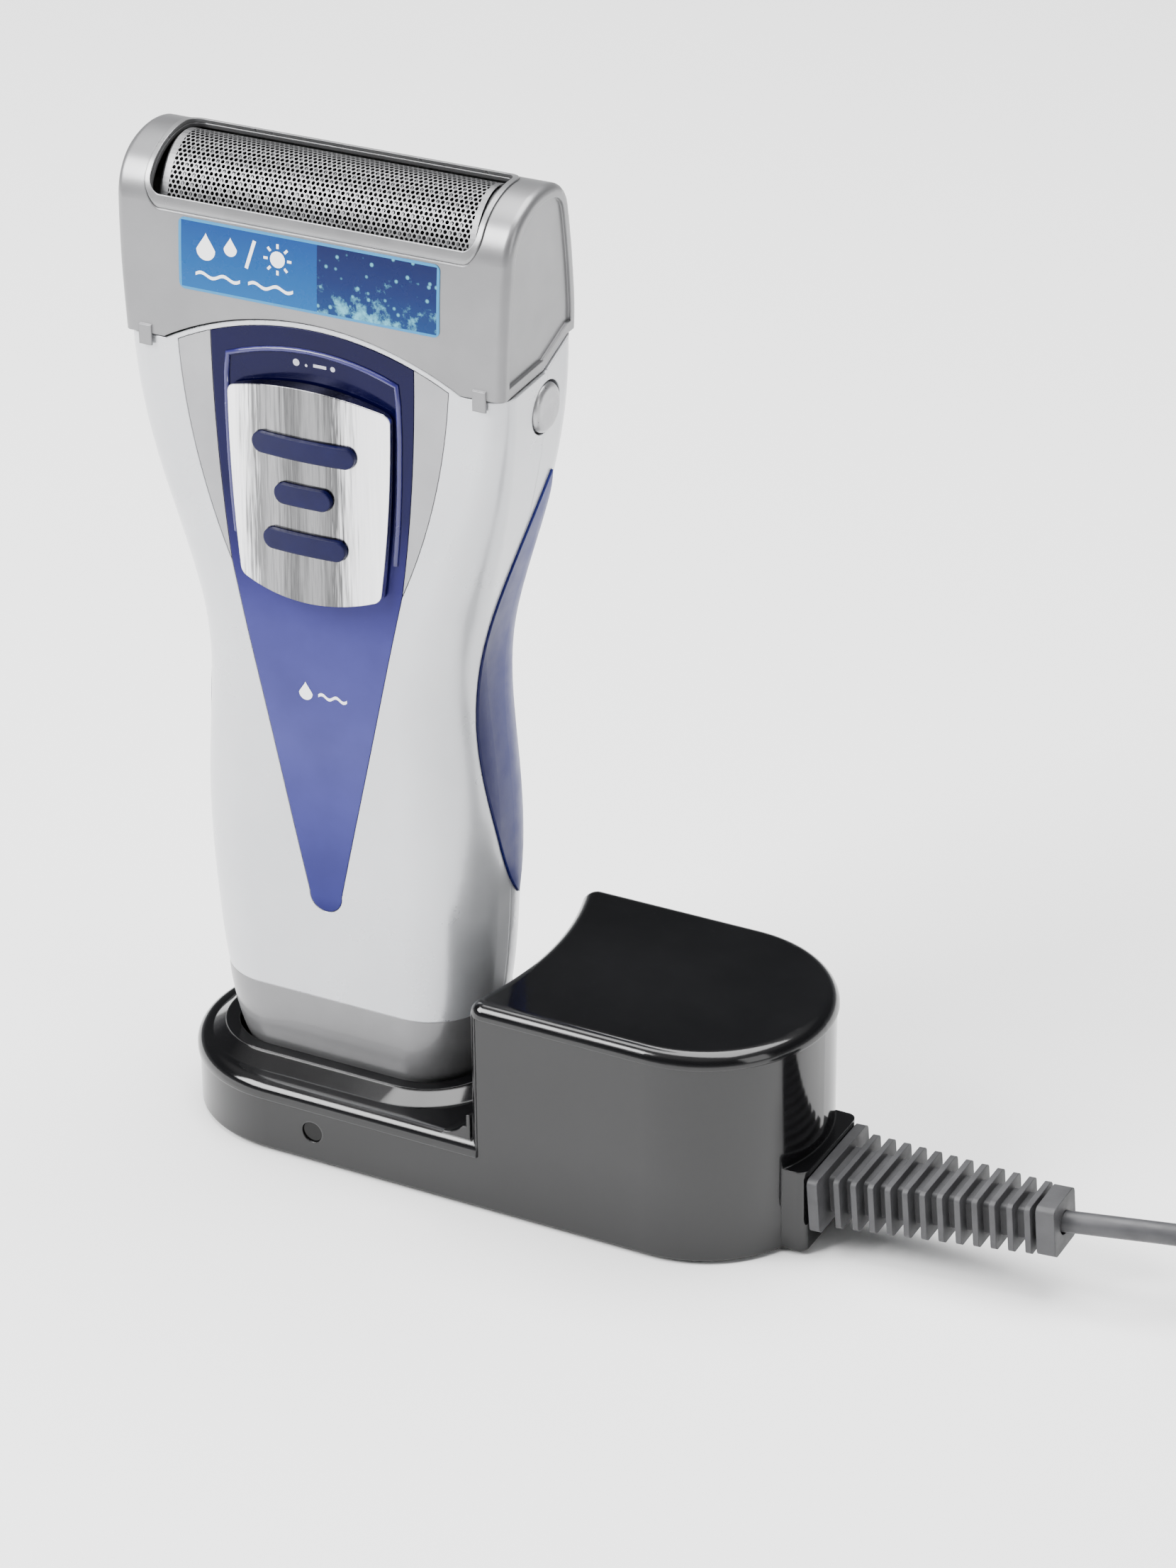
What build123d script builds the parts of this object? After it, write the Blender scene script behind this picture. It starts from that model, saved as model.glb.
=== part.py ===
from build123d import *

import os
from math import cos, hypot, pi, radians, sin, sqrt, tan

# Single-foil wet/dry shaver standing in its charging stand. Millimetres, +Z up, front towards -Y.
# Origin: on the surface the stand rests on, under the middle of shaver and stand together.
os.makedirs("parts", exist_ok=True)

# ---- overall ----
total_length = 114.2        # left end of the head to the face of the cord boss
head_half = 33.2            # half width of the head at its ridge
shaver_x = head_half - total_length / 2
boss_x = total_length / 2
gap = 0.35                  # clearance between pieces that move apart
seam = 0.12                 # open joint line round a panel let into a pocket

# ---- stand ----
foot_height = 0.8
stand_length = 108.6
stand_depth = 41.0
stand_wall = 2.0
stand_x = boss_x - 1.5 - stand_length / 2
lip = 0.35                  # overhang of the cover
cove = 4.0                  # hollow corner between platform and block
collar_top = 14.4
rim_top = 12.6              # top of the platform's rounded rim
rim_bottom = 9.8
block_top = 37.3
lid_bottom = 34.9
bay_radius = 57.2           # the block's hollow wall that faces the shaver
bay_x = 7.7                 # deepest point of that wall
bay_wall = 2.2
base_top = foot_height + 1.8
post_places = [(-48.3, 0), (3, 15.3), (3, -15.3), (44, 12), (44, -12)]
lamp_x, lamp_z, lamp_radius = shaver_x + 0.4, 5.9, 1.8

# ---- shaver body: height, half width, half depth, corner radius ----
cap_seam = 25.8
body_sections = [
    (cap_seam, 22.9, 12.6, 10),
    (40, 24.5, 12.8, 10.5),
    (52, 25.0, 12.8, 10.5),
    (64, 24.7, 12.6, 10.5),
    (78, 23.6, 12.4, 10),
    (88, 23.8, 12.3, 9),
    (100, 26.5, 11.9, 7.5),
    (112, 29.6, 11.5, 5.5),
    (124, 31.7, 11.2, 4),
    (133, 32.4, 11.0, 3.5),
    (142, 32.5, 10.9, 3.5),
]
cap_sections = [
    (6.0, 15.0, 6.4, 6),
    (8.0, 18.0, 8.9, 8.2),
    (11.5, 20.2, 10.7, 9.3),
    (16, 21.6, 11.8, 9.8),
    (21, 22.5, 12.4, 10),
    (cap_seam, 22.9, 12.6, 10),
]
housing_wall = 2.0
parting_y = 1.7             # front and rear housings meet at the release buttons' height
button_y, button_z, button_radius = parting_y, 127.8, 3.9
button_travel = 1.2

# ---- head ----
head_bottom = 133.3
head_rear_bottom = 137.0
arch_top = 139.8            # crest of the arched lower edge of the head
arch_radius = 52.0
arch_centre = arch_top - arch_radius
head_wall = 1.1
end_wall = 1.7
foil_y, foil_z = -0.8, 150.0
foil_reach, foil_rise = 8.3, 12.0      # half axes of the arched foil
foil_half = 26.2
foil_thickness = 0.15
blade_reach, blade_rise = 7.7, 11.45    # half axes of the blades under it
blade_count = 30
blade_pitch = 1.6
opening_front = (-10.1, 154.5)         # lower front and upper rear edge of the foil opening
opening_rear = (3.2, 162.3)
opening_half = 27.3
opening_lean = radians(22.3)
rim_width, rim_proud, rim_sunk = 0.9, 0.25, 0.4
label_half, label_low, label_high, label_thickness = 21.9, 141.7, 152.7, 0.12

# ---- switch ----
slider_low, slider_high = 98.3, 128.1  # corners of the plate; its arched ends go beyond
slider_top_half, slider_bottom_half = 13.8, 12.0
switch_travel = 6.0
lean = (12.1 - 11.0) / (136 - 96)    # the body's front face leans back this much per mm

# ---- drive ----
drive_y = -0.6
throw = 1.2                 # eccentric's offset, half the stroke of the blades
post_radius = 2.5

# ---- cord ----
cord_radius = 1.7
relief_tilt = radians(4.4)
relief_z = 9.4
relief_length = 38.2
coil_x, coil_radius = 150.0, 19.0      # place and mean radius of the wound length
coil_columns, coil_rows = 4, 4

front = Plane(origin=(shaver_x, 0, 0), x_dir=(1, 0, 0), z_dir=(0, -1, 0))
side = Plane(origin=(shaver_x, 0, 0), x_dir=(0, 1, 0), z_dir=(1, 0, 0))


def level(height, x=shaver_x, y=0.0):
    """Horizontal plane at a height, centred on the shaver unless told otherwise."""
    return Plane(origin=(x, y, height))


def keep(piece, label):
    """Labels a finished piece and writes its file."""
    piece.part.label = label
    export_step(piece.part, f"parts/{label}.step")


def form(sections, grow=0.0, drop=0.0):
    """Smooth solid through rounded rectangles, grown outwards and lowered."""
    with BuildPart() as body:
        for height, half_width, half_depth, corner in sections:
            with BuildSketch(level(height - drop)):
                RectangleRounded(2 * (half_width + grow), 2 * (half_depth + grow), corner + grow)
        loft()
    return body.part


def prism(face, amount, both=False):
    """Straight solid on a sketched face."""
    with BuildPart() as solid:
        extrude(face, amount=amount, both=both)
    return solid.part


# ---------------------------------------------------------------- stand: outlines

def stand_outline(inset=0.0):
    with BuildSketch() as outline:
        with Locations((stand_x, 0)):
            RectangleRounded(stand_length - 2 * inset, stand_depth - 2 * inset,
                             stand_depth / 2 - inset - 0.05)
    return outline.sketch


def bay_side(extra=0.0):
    """Everything on the shaver's side of the block's hollow wall, moved right by extra."""
    with BuildSketch() as region:
        with Locations((bay_x - bay_radius, 0)):
            Circle(bay_radius + extra)
    return region.sketch


def cover_outline():
    """The glossy cover overhangs the side walls a little, so it reads as a lip."""
    return stand_outline(-lip)


def block_outline(extra=0.0, inset=0.0):
    with BuildSketch() as outline:
        add(stand_outline(inset))
        add(bay_side(extra), mode=Mode.SUBTRACT)
    return outline.sketch


boss_half, boss_top = 9.5, 15.0

# ---------------------------------------------------------------- stand: pieces

with BuildPart() as stand_housing:
    with BuildSketch(Plane.XY.offset(foot_height)):
        add(stand_outline())
    extrude(amount=rim_bottom - foot_height)
    with BuildSketch(Plane.XY.offset(foot_height)):
        add(block_outline(bay_wall))
    extrude(amount=lid_bottom - foot_height)
    with BuildSketch(Plane.XY.offset(foot_height)):
        with Locations((boss_x - 7, 0)):
            RectangleRounded(14, 2 * boss_half, 1.5)
    extrude(amount=boss_top - foot_height)
    with BuildSketch(Plane.XY.offset(foot_height)):
        add(stand_outline(stand_wall))
    extrude(amount=block_top, mode=Mode.SUBTRACT)
    with BuildSketch(Plane.XY.offset(foot_height)):
        with Locations((boss_x - 8, 0)):
            Rectangle(12, 2 * boss_half - 4)
    extrude(amount=boss_top - foot_height - 2, mode=Mode.SUBTRACT)
    with Locations((boss_x, 0, relief_z)):
        Box(8, 8.6, 6.4, mode=Mode.SUBTRACT)
    with Locations(Location((lamp_x, -stand_depth / 2, lamp_z), (90, 0, 0))):
        Cylinder(lamp_radius, 8, mode=Mode.SUBTRACT)
keep(stand_housing, "stand_housing")

def platform_cove():
    """Hollow rounding along the foot of the block's curved wall."""
    middle = bay_x - bay_radius
    with BuildPart() as ring:
        with BuildSketch(Plane(origin=(middle, 0, 0), x_dir=(1, 0, 0), z_dir=(0, -1, 0))):
            with BuildLine():
                Polyline((bay_radius - cove, rim_top - 0.4), (bay_radius - cove, rim_top))
                RadiusArc((bay_radius - cove, rim_top), (bay_radius, rim_top + cove), -cove)
                Polyline((bay_radius, rim_top + cove), (bay_radius + 0.5, rim_top + cove),
                         (bay_radius + 0.5, rim_top - 0.4), (bay_radius - cove, rim_top - 0.4))
            make_face()
        revolve(axis=Axis((middle, 0, 0), (0, 0, 1)))
    with BuildPart() as column:
        with BuildSketch(Plane.XY.offset(rim_bottom)):
            add(stand_outline(0.6))
            with Locations((shaver_x, 0)):
                Rectangle(46, 60, mode=Mode.SUBTRACT)
        extrude(amount=20)
    return ring.part & column.part


with BuildPart() as stand_top_cover:
    with BuildSketch(Plane.XY.offset(rim_bottom)):
        add(cover_outline())
    extrude(amount=rim_top - rim_bottom)
    fillet(stand_top_cover.edges().group_by(Axis.Z)[-1], 2.2)
    with BuildSketch(Plane.XY.offset(rim_bottom)):
        add(block_outline(inset=-lip))
    extrude(amount=block_top - rim_bottom)
    corners = stand_top_cover.edges().filter_by(Axis.Z).filter_by(
        lambda e: abs(e.center().Y) > 17 and e.center().X < 10 and e.length > 15)
    fillet(corners, 2.5)
    fillet(stand_top_cover.faces().sort_by(Axis.Z)[-1].outer_wire().edges(), 2.3)
    add(platform_cove())
    with BuildSketch(level(rim_top - 0.6)):
        RectangleRounded(2 * 27.4, 2 * 18.2, 17)
    with BuildSketch(level(collar_top)):
        RectangleRounded(2 * 23.6, 2 * 13.8, 11.5)
    loft()
    with BuildSketch(Plane.XY.offset(rim_bottom - 1)):
        Rectangle(300, 100)
        add(bay_side(bay_wall), mode=Mode.SUBTRACT)
    extrude(amount=lid_bottom - rim_bottom + 1, mode=Mode.SUBTRACT)
    add(form(cap_sections[:-1], 2.4, 2.2))
    with Locations((shaver_x, 0, collar_top)):
        Box(56, 60, 10, align=(Align.CENTER, Align.CENTER, Align.MIN), mode=Mode.SUBTRACT)
    add(form(cap_sections, 0.6, 0.6), mode=Mode.SUBTRACT)
    for x, y in post_places:
        with BuildSketch(Plane.XY.offset(base_top)):
            with Locations((x, y)):
                Circle(2.4)
        extrude(amount=(lid_bottom if x > bay_x + 5 else rim_bottom) - base_top + 0.2)
    with Locations(*[(x, y, base_top) for x, y in post_places]):
        Cylinder(0.9, 12, align=(Align.CENTER, Align.CENTER, Align.MIN), mode=Mode.SUBTRACT)
    with Locations((shaver_x - 5, 0, 4.5), (shaver_x + 5, 0, 4.5)):
        Cylinder(1.3, 6, mode=Mode.SUBTRACT)
keep(stand_top_cover, "stand_top_cover")

with BuildPart() as stand_base_plate:
    with BuildSketch(Plane.XY.offset(foot_height)):
        add(stand_outline(stand_wall + 0.1))
        with Locations((boss_x - 8, 0)):
            Rectangle(11.6, 2 * boss_half - 4.4)
    extrude(amount=base_top - foot_height)
    with Locations(*[(x, y, foot_height) for x, y in post_places]):
        Cylinder(1.3, 4, mode=Mode.SUBTRACT)
        Cylinder(2.4, 2.0, mode=Mode.SUBTRACT)
keep(stand_base_plate, "stand_base_plate")

with BuildPart() as stand_screws:
    with Locations(*[(x, y, foot_height) for x, y in post_places]):
        Cylinder(2.2, 0.9, align=(Align.CENTER, Align.CENTER, Align.MIN))
        Cylinder(0.85, 9, align=(Align.CENTER, Align.CENTER, Align.MIN))
    with Locations(*[(x, y, foot_height) for x, y in post_places]):
        Box(2.6, 0.5, 0.8, mode=Mode.SUBTRACT)
        Box(0.5, 2.6, 0.8, mode=Mode.SUBTRACT)
keep(stand_screws, "stand_screws")

with BuildPart() as stand_feet:
    with Locations((-38, 10, 0), (-38, -10, 0), (33, 12, 0), (33, -12, 0)):
        Cylinder(4, foot_height, align=(Align.CENTER, Align.CENTER, Align.MIN))
    fillet(stand_feet.edges().group_by(Axis.Z)[0], 0.3)
keep(stand_feet, "stand_feet")

with BuildPart() as lamp_lens:
    with Locations(Location((lamp_x, -stand_depth / 2 + 0.3, lamp_z), (90, 0, 0))):
        Cylinder(lamp_radius - 0.05, stand_wall - 0.3, align=(Align.CENTER, Align.CENTER, Align.MAX))
    with Locations(Location((lamp_x, -stand_depth / 2 + stand_wall, lamp_z), (90, 0, 0))):
        Cylinder(lamp_radius + 0.5, 0.8, align=(Align.CENTER, Align.CENTER, Align.MAX))
keep(lamp_lens, "lamp_lens")

with BuildPart() as charger_board:
    with Locations((26, 0, 5.8)):
        Box(28, 30, 1.6)
    with Locations((19.5, 0, base_top)):
        with GridLocations(8, 24, 2, 2):
            Cylinder(1.5, 5.0 - base_top, align=(Align.CENTER, Align.CENTER, Align.MIN))
keep(charger_board, "charger_board")

core_x, core_low = 29.0, 6.6
with BuildPart() as transformer_core:
    with Locations((core_x, 0, core_low + 11)):
        Box(20, 12, 22)
        with Locations((-5.2, 0, 0), (5.2, 0, 0)):
            Box(4, 14, 14, mode=Mode.SUBTRACT)
keep(transformer_core, "transformer_core")

with BuildPart() as transformer_winding:
    with Locations((core_x, 0, core_low + 11)):
        Box(14.2, 20, 13.8)
        Box(6.5, 12.1, 14, mode=Mode.SUBTRACT)
    fillet(transformer_winding.edges().filter_by(Axis.Z).filter_by(lambda e: abs(e.center().Y) > 9), 3)
keep(transformer_winding, "transformer_winding")

with BuildPart() as charger_capacitors:
    with Locations((15.5, 9, core_low), (15.5, -9, core_low)):
        Cylinder(3.0, 11, align=(Align.CENTER, Align.CENTER, Align.MIN))
    fillet(charger_capacitors.edges().group_by(Axis.Z)[-1], 0.6)
keep(charger_capacitors, "charger_capacitors")

with BuildPart() as stand_contacts:
    with Locations((shaver_x - 5, 0, 3.0), (shaver_x + 5, 0, 3.0)):
        Cylinder(1.25, 2.6, align=(Align.CENTER, Align.CENTER, Align.MIN))
    with Locations((shaver_x - 5, 0, base_top), (shaver_x + 5, 0, base_top)):
        Cylinder(2.2, 0.4, align=(Align.CENTER, Align.CENTER, Align.MIN))
keep(stand_contacts, "stand_contacts")

# ---------------------------------------------------------------- stand: cord

relief_way = Vector(cos(relief_tilt), 0, sin(relief_tilt))
relief_start = Vector(boss_x + 0.45, 0, relief_z)


def across(distance):
    """Plane square to the strain relief's axis, at a distance along it."""
    return Plane(origin=relief_start + relief_way * distance, x_dir=(0, 1, 0), z_dir=relief_way)


rib_count = 12
with BuildPart() as strain_relief:
    with BuildSketch(across(0)):
        RectangleRounded(19, 9.2, 1)
    extrude(amount=1.7)
    with BuildSketch(across(-4.3)):
        Rectangle(8.0, 5.2)
    extrude(amount=4.4)
    with BuildSketch(across(-4.3)):
        Rectangle(11, 7.6)
    extrude(amount=1.2)
    with BuildSketch(across(1.6)):
        RectangleRounded(10.5, 6.2, 0.8)
    with BuildSketch(across(relief_length - 1)):
        RectangleRounded(5.0, 5.2, 0.8)
    loft()
    for rib in range(rib_count):
        share = rib / (rib_count - 1)
        with BuildSketch(across(3.6 + 2.72 * rib)):
            RectangleRounded(15.5 - 6.5 * share, 8.6 - 0.4 * share, 0.8)
        extrude(amount=0.95)
    with BuildSketch(across(relief_length - 3)):
        RectangleRounded(8.2, 8.4, 1)
    extrude(amount=3)
    with BuildSketch(across(relief_length)):
        Circle(cord_radius + 0.2)
    extrude(amount=-3.1, mode=Mode.SUBTRACT)
keep(strain_relief, "strain_relief")

cord_exit = relief_start + relief_way * (relief_length - 3)
lead_points = [
    cord_exit,
    Vector(103.8, 0.9, 13.3),
    Vector(114.6, 5.0, 12.4),
    Vector(124.2, 12.4, 8.4),
    Vector(131.6, 21.6, 4.0),
    Vector(141.6, 25.9, 1.75),
    Vector(coil_x + 2, 24.05, 1.75),
]
column_step = 2 * cord_radius
coil_outer = coil_radius + (coil_columns - 1) / 2 * column_step
tail_turn = radians(20)
tail_way = Vector(cos(tail_turn), -sin(tail_turn), 0)
tail_start = Vector(coil_x + coil_outer * sin(tail_turn), coil_outer * cos(tail_turn),
                    (coil_rows - 0.5) * column_step)
plug_z = 7.0
tail_points = [
    tail_start,
    tail_start + tail_way * 9 + Vector(0, 0, -0.6),
    tail_start + tail_way * 19 + Vector(0, 0, -3.4),
    tail_start + tail_way * 28 + Vector(0, 0, plug_z - tail_start.Z),
    tail_start + tail_way * 36 + Vector(0, 0, plug_z - tail_start.Z),
]


def bend_radii(points):
    """The largest arc that the two runs at each corner allow."""
    radii = []
    for before, here, after in zip(points, points[1:], points[2:]):
        shorter = min((here - before).length, (after - here).length)
        turn = radians((here - before).get_angle(after - here))
        radii.append(0.45 * shorter / tan(turn / 2))
    return radii


def cord_tube(points):
    """Round cord along straight runs joined by tangent arcs."""
    radii = bend_radii(points)
    with BuildPart() as tube:
        with BuildLine():
            route = FilletPolyline(*points, radius=radii)
        with BuildSketch(Plane(origin=points[0], z_dir=points[1] - points[0])):
            Circle(cord_radius)
        sweep(path=route)
    expected = pi * cord_radius ** 2 * route.length
    print("cord radii", [round(r, 1) for r in radii], "length", round(route.length, 1),
          "volume share", round(tube.part.volume / expected, 4))
    return tube


cord_lead = cord_tube(lead_points)
keep(cord_lead, "cord_lead")
cord_tail = cord_tube(tail_points)
keep(cord_tail, "cord_tail")

coil_half = coil_columns * cord_radius
with BuildPart() as cord_coil:
    with BuildSketch(Plane.XZ) as coil_section:
        with Locations((coil_radius, coil_rows * cord_radius)):
            RectangleRounded(2 * coil_half, coil_rows * column_step, 1.4)
    revolve(axis=Axis.Z)
cord_coil.part = cord_coil.part.moved(Location((coil_x, 0, 0.02)))
keep(cord_coil, "cord_coil")

with BuildPart() as cord_tie:
    with BuildSketch(Plane(origin=(coil_x, -coil_radius, coil_rows * cord_radius),
                           x_dir=(0, 1, 0), z_dir=(1, 0, 0))):
        RectangleRounded(2 * coil_half + 1.4, coil_rows * column_step + 0.0, 1.6)
        RectangleRounded(2 * coil_half + 0.1, coil_rows * column_step - 1.3, 1.4, mode=Mode.SUBTRACT)
    extrude(amount=2.0, both=True)
keep(cord_tie, "cord_tie")

plug_start = tail_points[-1]


def plug_plane(distance):
    return Plane(origin=plug_start + tail_way * distance, x_dir=(-tail_way.Y, tail_way.X, 0),
                 z_dir=tail_way)


pin_radius, pin_length, pin_spacing = 2.0, 19.0, 18.6
plug_length = 34.0
with BuildPart() as plug_body:
    with BuildSketch(plug_plane(0.02)):
        RectangleRounded(7.0, 7.0, 2.5)
    with BuildSketch(plug_plane(9)):
        RectangleRounded(13.0, 10.0, 3)
    with BuildSketch(plug_plane(20)):
        RectangleRounded(28.0, 13.2, 4)
    with BuildSketch(plug_plane(plug_length)):
        RectangleRounded(33.0, 13.6, 4.5)
    loft()
keep(plug_body, "plug_body")

with BuildPart() as plug_pins:
    with BuildSketch(plug_plane(plug_length)):
        with GridLocations(pin_spacing, 1, 2, 1):
            Circle(pin_radius)
    extrude(amount=pin_length)
    fillet(plug_pins.edges().filter_by(GeomType.CIRCLE).sort_by(Axis((0, 0, 0), tuple(tail_way)))[-2:], 0.9)
keep(plug_pins, "plug_pins")

# ---------------------------------------------------------------- shaver: outlines

def seam_line(lift):
    """Region above the joint between body and head, seen from the side."""
    with BuildSketch(side) as region:
        with BuildLine():
            Polyline((-40, head_bottom + lift), (-10, head_bottom + lift), (1, head_bottom + 0.6 + lift),
                     (8.4, head_rear_bottom + lift), (40, head_rear_bottom + lift),
                     (40, 200), (-40, 200), close=True)
        make_face()
    return region.sketch


def arch_circle(shrink):
    with BuildSketch(front) as region:
        with Locations((0, arch_centre)):
            Circle(arch_radius - shrink)
    return region.sketch


def on_arch(x, shrink):
    """Height of the arch's line at a distance from the middle."""
    return arch_centre + sqrt((arch_radius - shrink) ** 2 - x ** 2)


panel_arch = 1.1            # the panel's top edge runs this far under the arch
panel_half, waist_half, waist_z, tip_z, tip_half = 17.3, 14.8, 99.0, 41.9, 2.9
bezel_half = 23.0


def panel_outline(inset=0.0):
    """Blue panel: arched top, slightly hollow sides, then a long V with a round tip."""
    with BuildSketch(front) as outline:
        with BuildLine():
            ThreePointArc((0, arch_top - panel_arch), (panel_half / 2, on_arch(panel_half / 2, panel_arch)),
                          (panel_half, on_arch(panel_half, panel_arch)))
            ThreePointArc((panel_half, on_arch(panel_half, panel_arch)), (16.5, 115), (waist_half, waist_z))
            Line((waist_half, waist_z), (tip_half, tip_z + 3.2))
            ThreePointArc((tip_half, tip_z + 3.2), (2.1, tip_z + 0.9), (0, tip_z))
            mirror(about=Plane.YZ)
        make_face()
        if inset:
            offset(amount=-inset)
    return outline.sketch


def bezel_outline(inset=0.0):
    """Silver surround of the panel, from under the arch down to the panel's waist."""
    with BuildSketch(front) as outline:
        with BuildLine():
            ThreePointArc((0, arch_top - panel_arch), (bezel_half / 2, on_arch(bezel_half / 2, panel_arch)),
                          (bezel_half, on_arch(bezel_half, panel_arch)))
            ThreePointArc((bezel_half, on_arch(bezel_half, panel_arch)), (20.7, 117), (waist_half, waist_z))
            Line((waist_half, waist_z), (0, waist_z))
            mirror(about=Plane.YZ)
        make_face()
        if inset:
            offset(amount=-inset)
    return outline.sketch


def grip_outline(inset=0.0):
    """Leaf-shaped soft grip on each flank, wrapping towards the back."""
    with BuildSketch(side) as outline:
        with BuildLine():
            upper = ThreePointArc((6.3, 116), (-1.6, 98), (-5.4, 77))
            lower = TangentArc((-5.4, 77), (0.4, 48.5), tangent=upper % 1)
            TangentArc((0.4, 48.5), (4.4, 43), tangent=lower % 1)
            ThreePointArc((4.4, 43), (11.2, 80), (6.3, 116))
        make_face()
        if inset:
            offset(amount=-inset)
    return outline.sketch


grip_depth, panel_depth, bezel_depth = 0.9, 0.9, 1.5
body_outer = form(body_sections)
body_inner = form(body_sections, -housing_wall)
body_under_panel = form(body_sections, -panel_depth)
body_under_bezel = form(body_sections, -bezel_depth)
body_under_grip = form(body_sections, -grip_depth)
body_over_grip = form(body_sections, 0.35)

# ---------------------------------------------------------------- shaver: housings

slot_low, slot_high, slot_half = 107.5, 121.5, 2.6


def housing(keep_front):
    """One half of the body shell, with the pockets and holes that fall on it."""
    with BuildPart() as shell:
        add(body_outer)
        with BuildSketch(Plane.XZ.offset(60)):
            with Locations((shaver_x, 80)):
                Rectangle(100, 200)
        extrude(amount=-60 - parting_y, mode=Mode.INTERSECT if keep_front else Mode.SUBTRACT)
        add(body_inner, mode=Mode.SUBTRACT)
        above = prism(seam_line(-gap), 60, both=True) - prism(arch_circle(gap), 60, both=True)
        add(above, mode=Mode.SUBTRACT)
        if keep_front:
            add(prism(bezel_outline(), 30) - body_under_bezel, mode=Mode.SUBTRACT)
            add(prism(panel_outline(), 30) - body_under_panel, mode=Mode.SUBTRACT)
            with BuildSketch(front):
                with Locations((0, (slot_low + slot_high) / 2)):
                    Rectangle(2 * slot_half, slot_high - slot_low)
            extrude(amount=30, mode=Mode.SUBTRACT)
        add(prism(grip_outline(), 60, both=True) - body_under_grip, mode=Mode.SUBTRACT)
        with Locations(Location((shaver_x, button_y, button_z), (0, 90, 0))):
            Cylinder(button_radius + gap, 80, mode=Mode.SUBTRACT)
    return shell


front_housing = housing(True)
keep(front_housing, "front_housing")
rear_housing = housing(False)
keep(rear_housing, "rear_housing")

with BuildPart() as panel_bezel:
    extrude(bezel_outline(seam), amount=30)
    add(body_outer, mode=Mode.INTERSECT)
    add(body_under_bezel, mode=Mode.SUBTRACT)
    add(prism(panel_outline(), 30) - body_under_panel, mode=Mode.SUBTRACT)
    with BuildSketch(front):
        with Locations((0, (slot_low + slot_high) / 2)):
            Rectangle(2 * slot_half, slot_high - slot_low)
    extrude(amount=30, mode=Mode.SUBTRACT)
keep(panel_bezel, "panel_bezel")

with BuildPart() as front_panel:
    extrude(panel_outline(seam), amount=30)
    add(body_outer, mode=Mode.INTERSECT)
    add(body_under_panel, mode=Mode.SUBTRACT)
    with BuildSketch(front):
        with Locations((0, (slot_low + slot_high) / 2)):
            Rectangle(2 * slot_half, slot_high - slot_low)
    extrude(amount=30, mode=Mode.SUBTRACT)
keep(front_panel, "front_panel")

for hand, name in ((1, "side_grip_right"), (-1, "side_grip_left")):
    with BuildPart() as side_grip:
        extrude(grip_outline(seam), amount=60 * hand)
        add(body_over_grip, mode=Mode.INTERSECT)
        add(body_under_grip, mode=Mode.SUBTRACT)
    keep(side_grip, name)

# ---------------------------------------------------------------- shaver: bottom cap

terminal_places = [(shaver_x - 5, 0), (shaver_x + 5, 0)]
cap_screw_places = [(shaver_x - 12, 0), (shaver_x + 12, 0)]
with BuildPart() as bottom_cap:
    add(form(cap_sections, 0, 0))
    add(form([(z + 1.8, w, d, r) for z, w, d, r in cap_sections], -1.8), mode=Mode.SUBTRACT)
    with Locations(*[(x, y, 6) for x, y in terminal_places]):
        Cylinder(2.55, 6, mode=Mode.SUBTRACT)
    with Locations(*[(x, y, 6) for x, y in cap_screw_places]):
        Cylinder(1.0, 6, mode=Mode.SUBTRACT)
        Cylinder(1.9, 1.6, mode=Mode.SUBTRACT)
keep(bottom_cap, "bottom_cap")

with BuildPart() as cap_screws:
    with Locations(*[(x, y, 6.1) for x, y in cap_screw_places]):
        Cylinder(1.8, 0.7, align=(Align.CENTER, Align.CENTER, Align.MIN))
        Cylinder(0.95, 6, align=(Align.CENTER, Align.CENTER, Align.MIN))
keep(cap_screws, "cap_screws")

with BuildPart() as charge_terminals:
    with Locations(*[(x, y, 6.0) for x, y in terminal_places]):
        Cylinder(2.5, 1.85, align=(Align.CENTER, Align.CENTER, Align.MIN))
    with Locations(*[(x, y, 7.85) for x, y in terminal_places]):
        Cylinder(3.2, 0.5, align=(Align.CENTER, Align.CENTER, Align.MIN))
        Cylinder(0.6, 8, align=(Align.CENTER, Align.CENTER, Align.MIN))
keep(charge_terminals, "charge_terminals")

with BuildPart() as cap_seal:
    with BuildSketch(level(24.2)):
        RectangleRounded(41.2, 20.6, 8)
        RectangleRounded(38.6, 18.0, 6.8, mode=Mode.SUBTRACT)
    extrude(amount=3.4)
keep(cap_seal, "cap_seal")

# ---------------------------------------------------------------- shaver: inside

spine_front, spine_back = 7.6, 8.8
with BuildPart() as inner_chassis:
    with Locations((shaver_x, (spine_front + spine_back) / 2, 79.5)):
        Box(30, spine_back - spine_front, 103)
    for height, thickness in ((28.5, 1.5), (80.0, 1.6)):
        with Locations((shaver_x, 0, height)):
            Box(32, 2 * spine_back, thickness, align=(Align.CENTER, Align.CENTER, Align.MIN))
    with Locations((shaver_x, drive_y, 104.5)):
        Box(24, 15.0, 1.5, align=(Align.CENTER, Align.CENTER, Align.MIN))
    with Locations((shaver_x, 7.0, 104.5)):
        Box(24, 1.4, 1.5, align=(Align.CENTER, Align.CENTER, Align.MIN))
    with Locations((shaver_x, drive_y, 105)):
        Cylinder(3.6, 5, mode=Mode.SUBTRACT)
keep(inner_chassis, "inner_chassis")

cell_low, cell_high = 30.5, 78.4
with BuildPart() as battery_cells:
    with Locations((shaver_x - 7.4, drive_y, cell_low), (shaver_x + 7.4, drive_y, cell_low)):
        Cylinder(7.1, cell_high - cell_low, align=(Align.CENTER, Align.CENTER, Align.MIN))
    fillet(battery_cells.edges().filter_by(GeomType.CIRCLE), 0.6)
keep(battery_cells, "battery_cells")

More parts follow.
